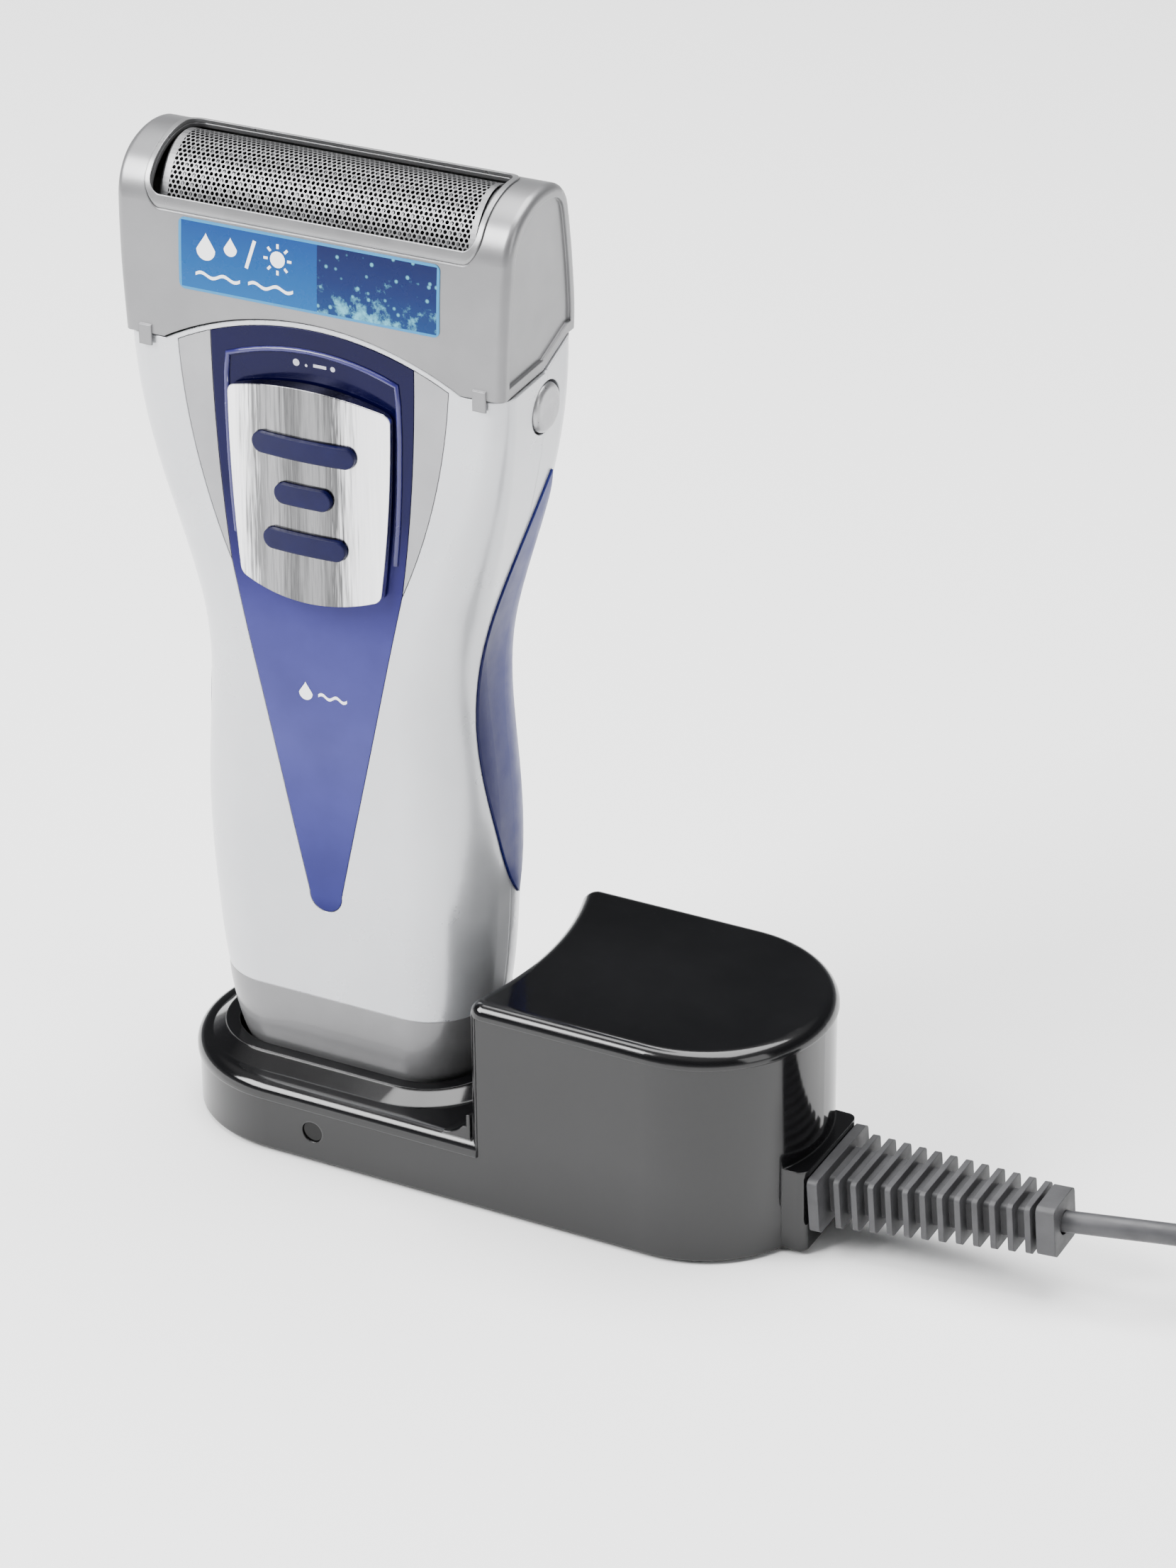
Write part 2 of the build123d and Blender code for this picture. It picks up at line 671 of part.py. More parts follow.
with BuildPart() as battery_tabs:
    with Locations((shaver_x, drive_y, 30.25), (shaver_x, drive_y, 78.65)):
        Box(22, 5, 0.45)
keep(battery_tabs, "battery_tabs")

with BuildPart() as control_board:
    with Locations((shaver_x, -9.3, 58)):
        Box(26, 1.0, 42)
    with Locations((shaver_x - 6, -8.3, 72), (shaver_x + 7, -8.3, 70)):
        Box(5, 1.0, 4)
keep(control_board, "control_board")

motor_low, motor_high = 84.2, 104.4
with BuildPart() as motor_can:
    with BuildSketch(level(motor_low, y=drive_y)):
        Circle(10.1)
        Rectangle(24, 15.2, mode=Mode.INTERSECT)
    extrude(amount=motor_high - motor_low)
    with Locations((shaver_x, drive_y, motor_high)):
        Cylinder(1.15, 60, mode=Mode.SUBTRACT)
    with BuildSketch(level(motor_low, y=drive_y)):
        Circle(8.8)
        Rectangle(24, 13.2, mode=Mode.INTERSECT)
    extrude(amount=motor_high - motor_low - 1.2, mode=Mode.SUBTRACT)
keep(motor_can, "motor_can")

with BuildPart() as motor_magnets:
    with BuildSketch(level(motor_low + 3, y=drive_y)):
        Circle(8.7)
        Circle(6.6, mode=Mode.SUBTRACT)
        Rectangle(24, 9, mode=Mode.INTERSECT)
    extrude(amount=13)
keep(motor_magnets, "motor_magnets")

with BuildPart() as motor_end_cap:
    with BuildSketch(level(81.7, y=drive_y)):
        Circle(10.1)
        Rectangle(24, 15.2, mode=Mode.INTERSECT)
    extrude(amount=motor_low - 81.7)
    with Locations((shaver_x, drive_y, 83)):
        Cylinder(1.15, 10, mode=Mode.SUBTRACT)
keep(motor_end_cap, "motor_end_cap")

# ---------------------------------------------------------------- rotor

with BuildPart() as motor_shaft:
    with Locations((shaver_x, drive_y, 82.3)):
        Cylinder(1.1, 30.2, align=(Align.CENTER, Align.CENTER, Align.MIN))
keep(motor_shaft, "motor_shaft")

with BuildPart() as motor_armature:
    with Locations((shaver_x, drive_y, motor_low + 2.5)):
        Cylinder(6.2, 14, align=(Align.CENTER, Align.CENTER, Align.MIN))
        with PolarLocations(6.2, 3):
            Box(4.4, 1.6, 14, align=(Align.CENTER, Align.CENTER, Align.MIN), mode=Mode.SUBTRACT)
        Cylinder(1.1, 40, mode=Mode.SUBTRACT)
keep(motor_armature, "motor_armature")

cam_low, cam_high, cam_pin_top = 108.2, 112.6, 117.6
with BuildPart() as eccentric_cam:
    with Locations((shaver_x, drive_y, cam_low)):
        Cylinder(4.0, cam_high - cam_low, align=(Align.CENTER, Align.CENTER, Align.MIN))
    with Locations((shaver_x, drive_y, cam_low)):
        Cylinder(1.1, 4.3, align=(Align.CENTER, Align.CENTER, Align.MIN), mode=Mode.SUBTRACT)
    with Locations((shaver_x, drive_y - throw, cam_high)):
        Cylinder(1.0, cam_pin_top - cam_high, align=(Align.CENTER, Align.CENTER, Align.MIN))
    with Locations((shaver_x - 2.4, drive_y + 1.6, cam_low)):
        Cylinder(0.8, 3, align=(Align.CENTER, Align.CENTER, Align.MIN), mode=Mode.SUBTRACT)
keep(eccentric_cam, "eccentric_cam")

# ---------------------------------------------------------------- drive: bridge, post

fork_low, fork_high = 113.4, 121.0
post_top = 147.0
with BuildPart() as drive_bridge:
    with Locations((shaver_x, drive_y, fork_low)):
        Box(16, 10.4, fork_high - fork_low, align=(Align.CENTER, Align.CENTER, Align.MIN))
    fillet(drive_bridge.edges().filter_by(Axis.Z), 1.5)
    with Locations((shaver_x, drive_y, fork_low)):
        Box(2 * (throw * 2 + 1.0 + gap), 2 * (throw + 1.0 + gap), cam_pin_top + 0.6 - fork_low,
            align=(Align.CENTER, Align.CENTER, Align.MIN), mode=Mode.SUBTRACT)
keep(drive_bridge, "drive_bridge")

with BuildPart() as drive_post:
    with Locations((shaver_x, drive_y, fork_high)):
        Cylinder(post_radius, post_top - fork_high, align=(Align.CENTER, Align.CENTER, Align.MIN))
    fillet(drive_post.edges().group_by(Axis.Z)[-1], 0.5)
    with Locations((shaver_x, drive_y, 137.6)):
        Cylinder(4.0, 1.4, align=(Align.CENTER, Align.CENTER, Align.MIN))
keep(drive_post, "drive_post")

# ---------------------------------------------------------------- shaver: deck under the head

deck_low, deck_high = 131.9, 133.3
boot_radius = 6.2
with BuildPart() as drive_deck:
    with BuildSketch(level(deck_low)):
        RectangleRounded(2 * 30.0, 2 * 8.6, 1.4)
        with Locations((28.6, button_y - 0.5), (-28.6, button_y - 0.5)):
            Rectangle(3.4, 6.4, mode=Mode.SUBTRACT)
        with Locations((0, drive_y)):
            Circle(boot_radius, mode=Mode.SUBTRACT)
    extrude(amount=deck_high - deck_low)
    with BuildSketch(level(deck_high)):
        RectangleRounded(2 * 26.2, 2 * 8.2, 2)
        RectangleRounded(2 * 25.0, 2 * 7.0, 1.4, mode=Mode.SUBTRACT)
    extrude(amount=5.5)
keep(drive_deck, "drive_deck")

with BuildPart() as drive_boot:
    with BuildSketch(level(deck_low, y=drive_y)):
        Circle(boot_radius)
        Circle(4.1, mode=Mode.SUBTRACT)
    extrude(amount=2.2)
    with BuildSketch(level(deck_low + 2.2, y=drive_y)):
        Circle(5.4)
        Circle(4.1, mode=Mode.SUBTRACT)
    extrude(amount=2.2)
keep(drive_boot, "drive_boot")

# ---------------------------------------------------------------- release buttons

for hand, name in ((1, "release_button_right"), (-1, "release_button_left")):
    with BuildPart() as release_button:
        face_x = shaver_x + hand * 32.75
        with Locations(Location((face_x, button_y, button_z), (0, -90 * hand, 0))):
            Cylinder(button_radius, 4.2, align=(Align.CENTER, Align.CENTER, Align.MIN))
        outer = release_button.faces().sort_by(Axis.X)[-1 if hand > 0 else 0]
        fillet(outer.edges(), 1.0)
        with Locations(Location((shaver_x + hand * 28.95, button_y, button_z), (0, 90, 0))):
            Cylinder(button_radius + 0.8, 1.1)
        with Locations((shaver_x + hand * 28.95, button_y - 0.5, button_z)):
            Box(1.1, 5.0, 11.0, align=(Align.CENTER, Align.CENTER, Align.MIN))
        with Locations((shaver_x + hand * 29.6, button_y - 0.5, button_z + 9.6)):
            Box(0.8, 5.0, 1.4, align=(Align.CENTER, Align.CENTER, Align.MIN))
    keep(release_button, name)

# ---------------------------------------------------------------- switch

slide_way = Vector(0, lean, 1).normalized()
face_in = Vector(0, 1, -lean).normalized()
plate_back = Plane(origin=(shaver_x, -12.1 - gap, 96), x_dir=(1, 0, 0), z_dir=-face_in)
crown_radius = 57.0         # the plate is crowned from side to side
crown_height = 2.6          # its thickness in the middle


def slider_outline():
    """Tapered plate with both ends arched downwards from the top."""
    low, high = slider_low - 96, slider_high - 96
    with BuildSketch(plate_back) as outline:
        with BuildLine():
            ThreePointArc((-slider_top_half, high), (0, high + 2.3), (slider_top_half, high))
            ThreePointArc((slider_top_half, high), (13.5, (low + high) / 2 + 2), (slider_bottom_half, low))
            ThreePointArc((slider_bottom_half, low), (0, low - 2.2), (-slider_bottom_half, low))
            ThreePointArc((-slider_bottom_half, low), (-13.5, (low + high) / 2 + 2),
                          (-slider_top_half, high))
        make_face()
        fillet(outline.vertices(), 1.6)
    return outline.sketch


def crown(extra):
    """Cylinder that the plate's front face is a part of."""
    with BuildPart() as drum:
        with BuildSketch(Plane(origin=plate_back.origin, x_dir=(1, 0, 0), z_dir=plate_back.y_dir)):
            with Locations((0, crown_radius - crown_height)):
                Circle(crown_radius + extra)
        extrude(amount=60, both=True)
    return drum.part


rib_rows = ((120.9, 8.75), (113.5, 4.87), (105.8, 7.07))
rib_height, rib_proud, rib_sunk = 3.3, 0.8, 0.5


def rib_prisms(shrink=0.0):
    with BuildPart() as pills:
        with BuildSketch(plate_back):
            for height, half in rib_rows:
                with Locations((0, height - 96)):
                    SlotOverall(2 * (half - shrink), rib_height - 2 * shrink)
        extrude(amount=12)
    return pills.part


with BuildPart() as switch_slider:
    extrude(slider_outline(), amount=12)
    add(crown(0), mode=Mode.INTERSECT)
    add(rib_prisms() - crown(-rib_sunk), mode=Mode.SUBTRACT)
    with BuildSketch(plate_back):
        with Locations((0, 111.5 - 96)):
            Rectangle(4.4, 6.0)
    extrude(amount=-2.9)
keep(switch_slider, "switch_slider")

with BuildPart() as switch_ribs:
    add(rib_prisms(0.05))
    add(crown(rib_proud), mode=Mode.INTERSECT)
    add(crown(-rib_sunk), mode=Mode.SUBTRACT)
keep(switch_ribs, "switch_ribs")

with BuildPart() as switch_carrier:
    with BuildSketch(plate_back.offset(-2.9)):
        with Locations((0, 111.5 - 96)):
            Rectangle(10, 9)
    extrude(amount=-0.8)
keep(switch_carrier, "switch_carrier")

# ---------------------------------------------------------------- head

def head_profile(inset=0.0):
    """Side view of the head: upright front, domed top leaning to the back, sloping rear."""
    with BuildSketch(side) as outline:
        with BuildLine():
            Line((-11.4, 125), (-11.4, 139))
            rise_arc = TangentArc((-11.4, 139), (-10.5, 154), tangent=(0, 1))
            brow = TangentArc((-10.5, 154), (-5.6, 161.0), tangent=rise_arc % 1)
            crest = TangentArc((-5.6, 161.0), (3.6, 162.1), tangent=brow % 1)
            nape = TangentArc((3.6, 162.1), (8.2, 157.6), tangent=crest % 1)
            back = TangentArc((8.2, 157.6), (11.1, 143), tangent=nape % 1)
            TangentArc((11.1, 143), (11.4, 136), tangent=back % 1)
            Polyline((11.4, 136), (11.4, 125), (-11.4, 125))
        make_face()
        if inset:
            offset(amount=-inset)
    return outline.sketch


def head_front(inset=0.0):
    """Front view of the head: sides that spread slightly towards the ridge."""
    low, high = 31.7, head_half
    with BuildSketch(front) as outline:
        with BuildLine():
            Polyline((-low, 125), (low, 125), (high, 160), (high, 170), (-high, 170), (-high, 160), close=True)
        make_face()
        if inset:
            offset(amount=-inset)
    return outline.sketch


def head_form(side_inset=0.0, end_inset=0.0):
    with BuildPart() as solid:
        extrude(head_profile(side_inset), amount=60, both=True)
        add(prism(head_front(end_inset), 60, both=True), mode=Mode.INTERSECT)
    return solid.part


def opening_prism(grow=0.0):
    """Column through the foil opening, leaning forwards."""
    depth = ((opening_rear[0] - opening_front[0]) * cos(opening_lean)
             + (opening_rear[1] - opening_front[1]) * sin(opening_lean))
    middle = [(a + b) / 2 for a, b in zip(opening_front, opening_rear)]
    with BuildPart() as column:
        with BuildSketch(Plane(origin=(shaver_x, *middle), x_dir=(1, 0, 0),
                               z_dir=(0, -sin(opening_lean), cos(opening_lean)))):
            RectangleRounded(2 * (opening_half + grow), depth + 2 * grow, 2.0 + grow)
        extrude(amount=9, both=True)
    return column.part


def end_pockets():
    """Shallow pointed panel sunk into each end, leaving a raised border."""
    inside = prism(head_profile(2.0), 60, both=True) & prism(seam_line(1.6), 60, both=True)
    return inside - prism(head_front(0.5), 60, both=True)


latch_tab_x = 28.3
head_edges = (lambda e: abs(e.center().X - shaver_x) > 30 and 126 < e.center().Z)
with BuildPart() as foil_frame:
    add(head_form())
    fillet(foil_frame.edges().filter_by(head_edges), 1.2)
    add(head_form(head_wall, end_wall), mode=Mode.SUBTRACT)
    add(prism(seam_line(0), 60, both=True), mode=Mode.INTERSECT)
    add(prism(arch_circle(0), 60, both=True), mode=Mode.SUBTRACT)
    add(end_pockets(), mode=Mode.SUBTRACT)
    add(opening_prism(), mode=Mode.SUBTRACT)
    add((opening_prism(rim_width) - opening_prism()) - head_form(rim_sunk), mode=Mode.SUBTRACT)
    for hand in (1, -1):
        with Locations((shaver_x + hand * latch_tab_x, -11.1, head_bottom)):
            Box(2.2, 1.2, 1.4, align=(Align.CENTER, Align.CENTER, Align.MIN))
        with Locations((shaver_x + hand * latch_tab_x, -11.55, head_bottom - 1.8)):
            Box(2.2, 0.3, 3.2, align=(Align.CENTER, Align.CENTER, Align.MIN))
keep(foil_frame, "foil_frame")

with BuildPart() as foil_rim:
    add(opening_prism(rim_width - 0.05) - opening_prism())
    add(head_form(-rim_proud, 0), mode=Mode.INTERSECT)
    add(head_form(rim_sunk - 0.02), mode=Mode.SUBTRACT)
keep(foil_rim, "foil_rim")

with BuildPart() as head_label:
    with BuildSketch(front):
        with Locations((0, (label_low + label_high) / 2)):
            RectangleRounded(2 * label_half, label_high - label_low, 1)
    extrude(amount=30)
    add(head_form(-label_thickness, -1), mode=Mode.INTERSECT)
    add(head_form(0, -1), mode=Mode.SUBTRACT)
keep(head_label, "head_label")

# ---------------------------------------------------------------- foil unit

holder_low, holder_high = 146.5, 149.5
holder_half = 26.7


def foil_section(grow=0.0):
    """Half ellipse of the foil seen from the side, grown outwards."""
    with BuildSketch(side) as outline:
        with Locations((foil_y, foil_z)):
            Ellipse(foil_reach + grow, foil_rise + grow)
        with Locations((foil_y, holder_high)):
            Rectangle(40, 40, align=(Align.CENTER, Align.MAX), mode=Mode.SUBTRACT)
    return outline.sketch


with BuildPart() as foil_holder:
    with BuildSketch(level(holder_low, y=foil_y)):
        Rectangle(2 * holder_half, 2 * 8.6)
        Rectangle(2 * foil_half - 1.2, 2 * 8.1, mode=Mode.SUBTRACT)
    extrude(amount=holder_high - holder_low)
    for hand in (1, -1):
        plate = prism(foil_section(-0.35), hand * holder_half) - prism(foil_section(), hand * foil_half)
        add(plate)
keep(foil_holder, "foil_holder")

with BuildPart() as outer_foil:
    extrude(foil_section() - foil_section(-foil_thickness), amount=foil_half, both=True)
keep(outer_foil, "outer_foil")

# ---------------------------------------------------------------- blades

carrier_low = 143.0
with BuildPart() as blade_carrier:
    with Locations((shaver_x, foil_y, carrier_low)):
        Box(48, 14.4, holder_high - carrier_low, align=(Align.CENTER, Align.CENTER, Align.MIN))
    with Locations((shaver_x - 15.5, foil_y, carrier_low), (shaver_x + 15.5, foil_y, carrier_low)):
        Box(14, 11.6, 12, mode=Mode.SUBTRACT)
    with Locations((shaver_x, drive_y, carrier_low)):
        Cylinder(post_radius + 0.05, 5.4, align=(Align.CENTER, Align.CENTER, Align.MIN), mode=Mode.SUBTRACT)
keep(blade_carrier, "blade_carrier")


def blade_section():
    """Arched cutting plate seen from the side."""
    with BuildSketch(side) as outline:
        with Locations((foil_y, foil_z)):
            Ellipse(blade_reach, blade_rise)
            Ellipse(blade_reach - 1.2, blade_rise - 1.3, mode=Mode.SUBTRACT)
        with Locations((foil_y, holder_high)):
            Rectangle(40, 40, align=(Align.CENTER, Align.MAX), mode=Mode.SUBTRACT)
    return outline.sketch


blade_face = blade_section()
with BuildPart() as inner_blades:
    with Locations(*[((k - (blade_count - 1) / 2) * blade_pitch, 0, 0) for k in range(blade_count)]):
        add(prism(blade_face, 0.15, both=True))
keep(inner_blades, "inner_blades")

spring_low, spring_high, wire = 139.0, carrier_low, 0.25
with BuildPart() as blade_spring:
    with BuildLine():
        turns = Helix(pitch=0.95, height=spring_high - spring_low - 2 * wire - 0.1, radius=3.35,
                      center=(shaver_x, drive_y, spring_low + wire + 0.05))
    with BuildSketch(Plane(origin=turns @ 0, z_dir=turns % 0)):
        Circle(wire)
    sweep(path=turns, is_frenet=True)
keep(blade_spring, "blade_spring")
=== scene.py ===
"""Foil shaver standing in its charging stand: materials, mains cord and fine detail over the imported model."""

from math import cos, pi, radians, sin, sqrt

import bmesh
import bpy
from mathutils import Matrix, Vector
from mathutils.bvhtree import BVHTree


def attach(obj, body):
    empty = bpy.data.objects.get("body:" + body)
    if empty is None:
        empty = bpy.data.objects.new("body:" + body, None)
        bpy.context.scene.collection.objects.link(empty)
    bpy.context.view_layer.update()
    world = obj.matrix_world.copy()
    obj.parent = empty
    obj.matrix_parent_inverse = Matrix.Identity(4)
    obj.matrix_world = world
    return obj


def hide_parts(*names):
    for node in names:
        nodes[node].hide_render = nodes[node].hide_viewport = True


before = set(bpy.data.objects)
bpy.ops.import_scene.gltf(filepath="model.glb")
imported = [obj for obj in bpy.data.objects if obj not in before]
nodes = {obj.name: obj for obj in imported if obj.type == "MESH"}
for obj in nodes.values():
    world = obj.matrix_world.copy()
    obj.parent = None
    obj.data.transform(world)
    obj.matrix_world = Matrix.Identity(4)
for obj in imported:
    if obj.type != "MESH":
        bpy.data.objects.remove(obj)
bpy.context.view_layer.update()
MM = 0.001
SHAVER_X = -23.9  # middle of the shaver, in millimetres


# ---------------------------------------------------------------- camera

CAMERA_PLACE = (0.3078, -0.5567, 0.4052)
CAMERA_ANGLES = (27.706, 28.221, -0.528)  # azimuth, elevation and roll in degrees
CAMERA_LENS = 108.15


def place_camera():
    azimuth, elevation, roll = [radians(angle) for angle in CAMERA_ANGLES]
    right = Vector((cos(azimuth), sin(azimuth), 0))
    back = Vector((sin(azimuth) * cos(elevation), -cos(azimuth) * cos(elevation), sin(elevation)))
    up = back.cross(right)
    turned_right = cos(roll) * right + sin(roll) * up
    turned_up = cos(roll) * up - sin(roll) * right
    camera = bpy.data.objects.new("Camera", bpy.data.cameras.new("Camera"))
    camera.data.lens = CAMERA_LENS
    camera.data.sensor_width = 36
    camera.data.clip_start = 0.01
    camera.data.clip_end = 20
    pose = Matrix((turned_right, turned_up, back)).transposed().to_4x4()
    pose.translation = CAMERA_PLACE
    camera.matrix_world = pose
    bpy.context.scene.collection.objects.link(camera)
    bpy.context.scene.camera = camera


place_camera()


# ---------------------------------------------------------------- shader helpers

def start_material(name):
    material = bpy.data.materials.new(name)
    material.use_nodes = True
    tree = material.node_tree
    return material, tree, tree.nodes["Principled BSDF"]


def link(tree, source, target):
    tree.links.new(source, target)


def coordinates(tree, scale=(1, 1, 1)):
    """Object coordinates in millimetres, stretched by scale."""
    place = tree.nodes.new("ShaderNodeTexCoord")
    mapping = tree.nodes.new("ShaderNodeMapping")
    mapping.inputs["Scale"].default_value = [1000 * s for s in scale]
    link(tree, place.outputs["Object"], mapping.inputs["Vector"])
    return mapping.outputs["Vector"]


def noise(tree, size, detail=4.0, scale=(1, 1, 1), rough=0.55):
    """Noise whose features are about size millimetres wide."""
    node = tree.nodes.new("ShaderNodeTexNoise")
    node.inputs["Scale"].default_value = 1.0 / size
    node.inputs["Detail"].default_value = detail
    node.inputs["Roughness"].default_value = rough
    link(tree, coordinates(tree, scale), node.inputs["Vector"])
    return node.outputs["Fac"]


def spread(tree, source, low, high, start=0.3, end=0.7):
    """Maps a 0-1 pattern to the range low to high."""
    node = tree.nodes.new("ShaderNodeMapRange")
    node.inputs["From Min"].default_value = start
    node.inputs["From Max"].default_value = end
    node.inputs["To Min"].default_value = low
    node.inputs["To Max"].default_value = high
    link(tree, source, node.inputs["Value"])
    return node.outputs["Result"]


def ramp(tree, source, stops):
    """Colour ramp through (position, colour) stops."""
    node = tree.nodes.new("ShaderNodeValToRGB")
    points = node.color_ramp.elements
    while len(points) < len(stops):
        points.new(0.5)
    for point, (position, colour) in zip(points, stops):
        point.position = position
        point.color = (*colour, 1)
    link(tree, source, node.inputs["Fac"])
    return node.outputs["Color"]


def bumps(tree, shader, layers, edge=0.0):
    """Stacks bump layers of (pattern, depth in mm) on an optional rounded-edge normal."""
    normal = None
    if edge:
        bevel = tree.nodes.new("ShaderNodeBevel")
        bevel.samples = 6
        bevel.inputs["Radius"].default_value = edge * MM
        normal = bevel.outputs["Normal"]
    for pattern, depth in layers:
        bump = tree.nodes.new("ShaderNodeBump")
        bump.inputs["Strength"].default_value = 0.9
        bump.inputs["Distance"].default_value = depth * MM
        link(tree, pattern, bump.inputs["Height"])
        if normal:
            link(tree, normal, bump.inputs["Normal"])
        normal = bump.outputs["Normal"]
    link(tree, normal, shader.inputs["Normal"])


def axis_value(tree, axis, low, high):
    """0 to 1 along an object axis between two heights in millimetres."""
    place = tree.nodes.new("ShaderNodeTexCoord")
    split = tree.nodes.new("ShaderNodeSeparateXYZ")
    link(tree, place.outputs["Object"], split.inputs["Vector"])
    return spread(tree, split.outputs[axis], 0, 1, low * MM, high * MM)


def math_node(tree, operation, a, b=None):
    node = tree.nodes.new("ShaderNodeMath")
    node.operation = operation
    for socket, value in zip(node.inputs, (a, b)):
        if value is None:
            continue
        if isinstance(value, (int, float)):
            socket.default_value = value
        else:
            link(tree, value, socket)
    return node.outputs["Value"]


def moulding(name, dark, light, rough=(0.3, 0.4), metal=0.0, coat=0.0, coat_rough=0.05,
             patch=14.0, grain=0.35, depth=0.004, edge=0.3, specular=0.5):
    """Moulded plastic: faint colour clouds, uneven gloss and a fine skin texture."""
    material, tree, shader = start_material(name)
    clouds = noise(tree, patch)
    link(tree, ramp(tree, clouds, [(0.3, dark), (0.7, light)]), shader.inputs["Base Color"])
    link(tree, spread(tree, noise(tree, patch * 0.35), *rough), shader.inputs["Roughness"])
    shader.inputs["Metallic"].default_value = metal
    shader.inputs["Coat Weight"].default_value = coat
    shader.inputs["Coat Roughness"].default_value = coat_rough
    shader.inputs["Specular IOR Level"].default_value = specular
    bumps(tree, shader, [(noise(tree, grain, 2), depth)], edge)
    return material


def rubber(name, dark, light, rough=(0.55, 0.7), edge=0.3):
    material, tree, shader = start_material(name)
    link(tree, ramp(tree, noise(tree, 6), [(0.3, dark), (0.7, light)]), shader.inputs["Base Color"])
    link(tree, spread(tree, noise(tree, 2.5), *rough), shader.inputs["Roughness"])
    shader.inputs["Specular IOR Level"].default_value = 0.42
    bumps(tree, shader, [(noise(tree, 0.25, 3), 0.012), (noise(tree, 3), 0.02)], edge)
    return material


def brushed(name, dark, light, along="Z", rough=(0.22, 0.38), metal=1.0, streak=0.12, edge=0.25, coat=0.0):
    """Metal, or metal-like plating, with fine streaks along one axis."""
    material, tree, shader = start_material(name)
    scale = {"X": (0.02, 1, 1), "Y": (1, 0.02, 1), "Z": (1, 1, 0.02)}[along]
    streaks = noise(tree, streak, 3, scale, 0.7)
    link(tree, ramp(tree, streaks, [(0.3, dark), (0.7, light)]), shader.inputs["Base Color"])
    link(tree, spread(tree, streaks, *rough), shader.inputs["Roughness"])
    shader.inputs["Metallic"].default_value = metal
    shader.inputs["Coat Weight"].default_value = coat
    bumps(tree, shader, [(streaks, 0.004), (noise(tree, 9), 0.02)], edge)
    return material


def paint(material, *names):
    for name in names:
        mesh = nodes[name].data
        mesh.materials.clear()
        mesh.materials.append(material)


# ---------------------------------------------------------------- mains cord

LEAD = [(92.646, 0, 12.1), (103.8, 0.9, 13.3), (114.6, 5.0, 12.4), (124.2, 12.4, 8.4),
        (131.6, 21.6, 4.0), (141.6, 25.9, 1.75), (152.0, 24.05, 1.75)]
COIL_X = 150.0
COIL_RADIUS = 24.1  # middle line of the outermost turn
CORD = 3.4
LAYERS = (1.75, 5.13, 8.52, 11.9)  # heights of the coil's four layers
TAIL_TURN = radians(20)
PLUG_Z = 7.0
FIRST_ANGLE, LAST_ANGLE, ANGLE_STEP = 22.5, 14 * 360 + 5, 22.5
CORNER_CUT = 1.009  # the curve runs slightly inside its control points

# Where the winding steps to the next turn (a change of radius) or climbs to the next layer: start and
# end in degrees of winding, clockwise from north.
STEPS = [(300 + 360 * k, 340 + 360 * k, -CORD) for k in range(3)]
STEPS += [(4 * 360 + 190 + 360 * k, 4 * 360 + 235 + 360 * k, CORD) for k in range(3)]
STEPS += [(8 * 360 + 75 + 360 * k, 8 * 360 + 125 + 360 * k, -CORD) for k in range(3)]
STEPS += [(11 * 360 + 315 + 360 * k, 11 * 360 + 370 + 360 * k, CORD) for k in range(3)]
CLIMBS = [(3 * 360 + 240, 3 * 360 + 295), (7 * 360 + 130, 7 * 360 + 185), (11 * 360 + 15, 11 * 360 + 70)]


def share(angle, start, end):
    """Smooth 0 to 1 while angle goes from start to end."""
    t = min(1.0, max(0.0, (angle - start) / (end - start)))
    return t * t * (3 - 2 * t)


def coil_points():
    """Neat winding of the put-away length: four layers, each turn beside the last."""
    points = []
    angle = FIRST_ANGLE
    while angle < LAST_ANGLE:
        radius = COIL_RADIUS + sum(share(angle, a, b) * change for a, b, change in STEPS)
        height = LAYERS[0] + sum(share(angle, a, b) * (high - low)
                                 for (a, b), low, high in zip(CLIMBS, LAYERS, LAYERS[1:]))
        radius *= CORNER_CUT
        points.append((COIL_X + radius * sin(radians(angle)), radius * cos(radians(angle)), height))
        angle += ANGLE_STEP
    return points


def tail_points():
    """Leaves the top turn straight and sinks to the plug's height."""
    way = Vector((cos(TAIL_TURN), -sin(TAIL_TURN), 0))
    start = Vector((COIL_X + COIL_RADIUS * sin(TAIL_TURN), COIL_RADIUS * cos(TAIL_TURN), LAYERS[-1]))
    drop_to_plug = PLUG_Z - LAYERS[-1]
    sinking = [(9, -0.6), (19, -3.4), (28, drop_to_plug), (36, drop_to_plug)]
    return [start] + [start + way * far + Vector((0, 0, down)) for far, down in sinking]


def nurbs(name, points, radius):
    """Round cord along the points, which are in millimetres."""
    curve = bpy.data.curves.new(name, "CURVE")
    curve.dimensions = "3D"
    spline = curve.splines.new("NURBS")
    spline.points.add(len(points) - 1)
    for point, place in zip(spline.points, points):
        point.co = (*[c * MM for c in place], 1)
    spline.order_u = 3
    spline.use_endpoint_u = True
    spline.resolution_u = 6
    curve.bevel_depth = radius * MM
    curve.bevel_resolution = 5
    piece = bpy.data.objects.new(name, curve)
    bpy.context.scene.collection.objects.link(piece)
    return piece


cord_skin = rubber("cord_skin", (0.035, 0.035, 0.038), (0.06, 0.06, 0.064), (0.42, 0.55), 0)
mains_cord = nurbs("mains_cord", LEAD + coil_points() + tail_points(), CORD / 2)
mains_cord.data.materials.append(cord_skin)
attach(mains_cord, "stand")
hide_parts("cord_lead", "cord_coil", "cord_tail")


# ---------------------------------------------------------------- studio

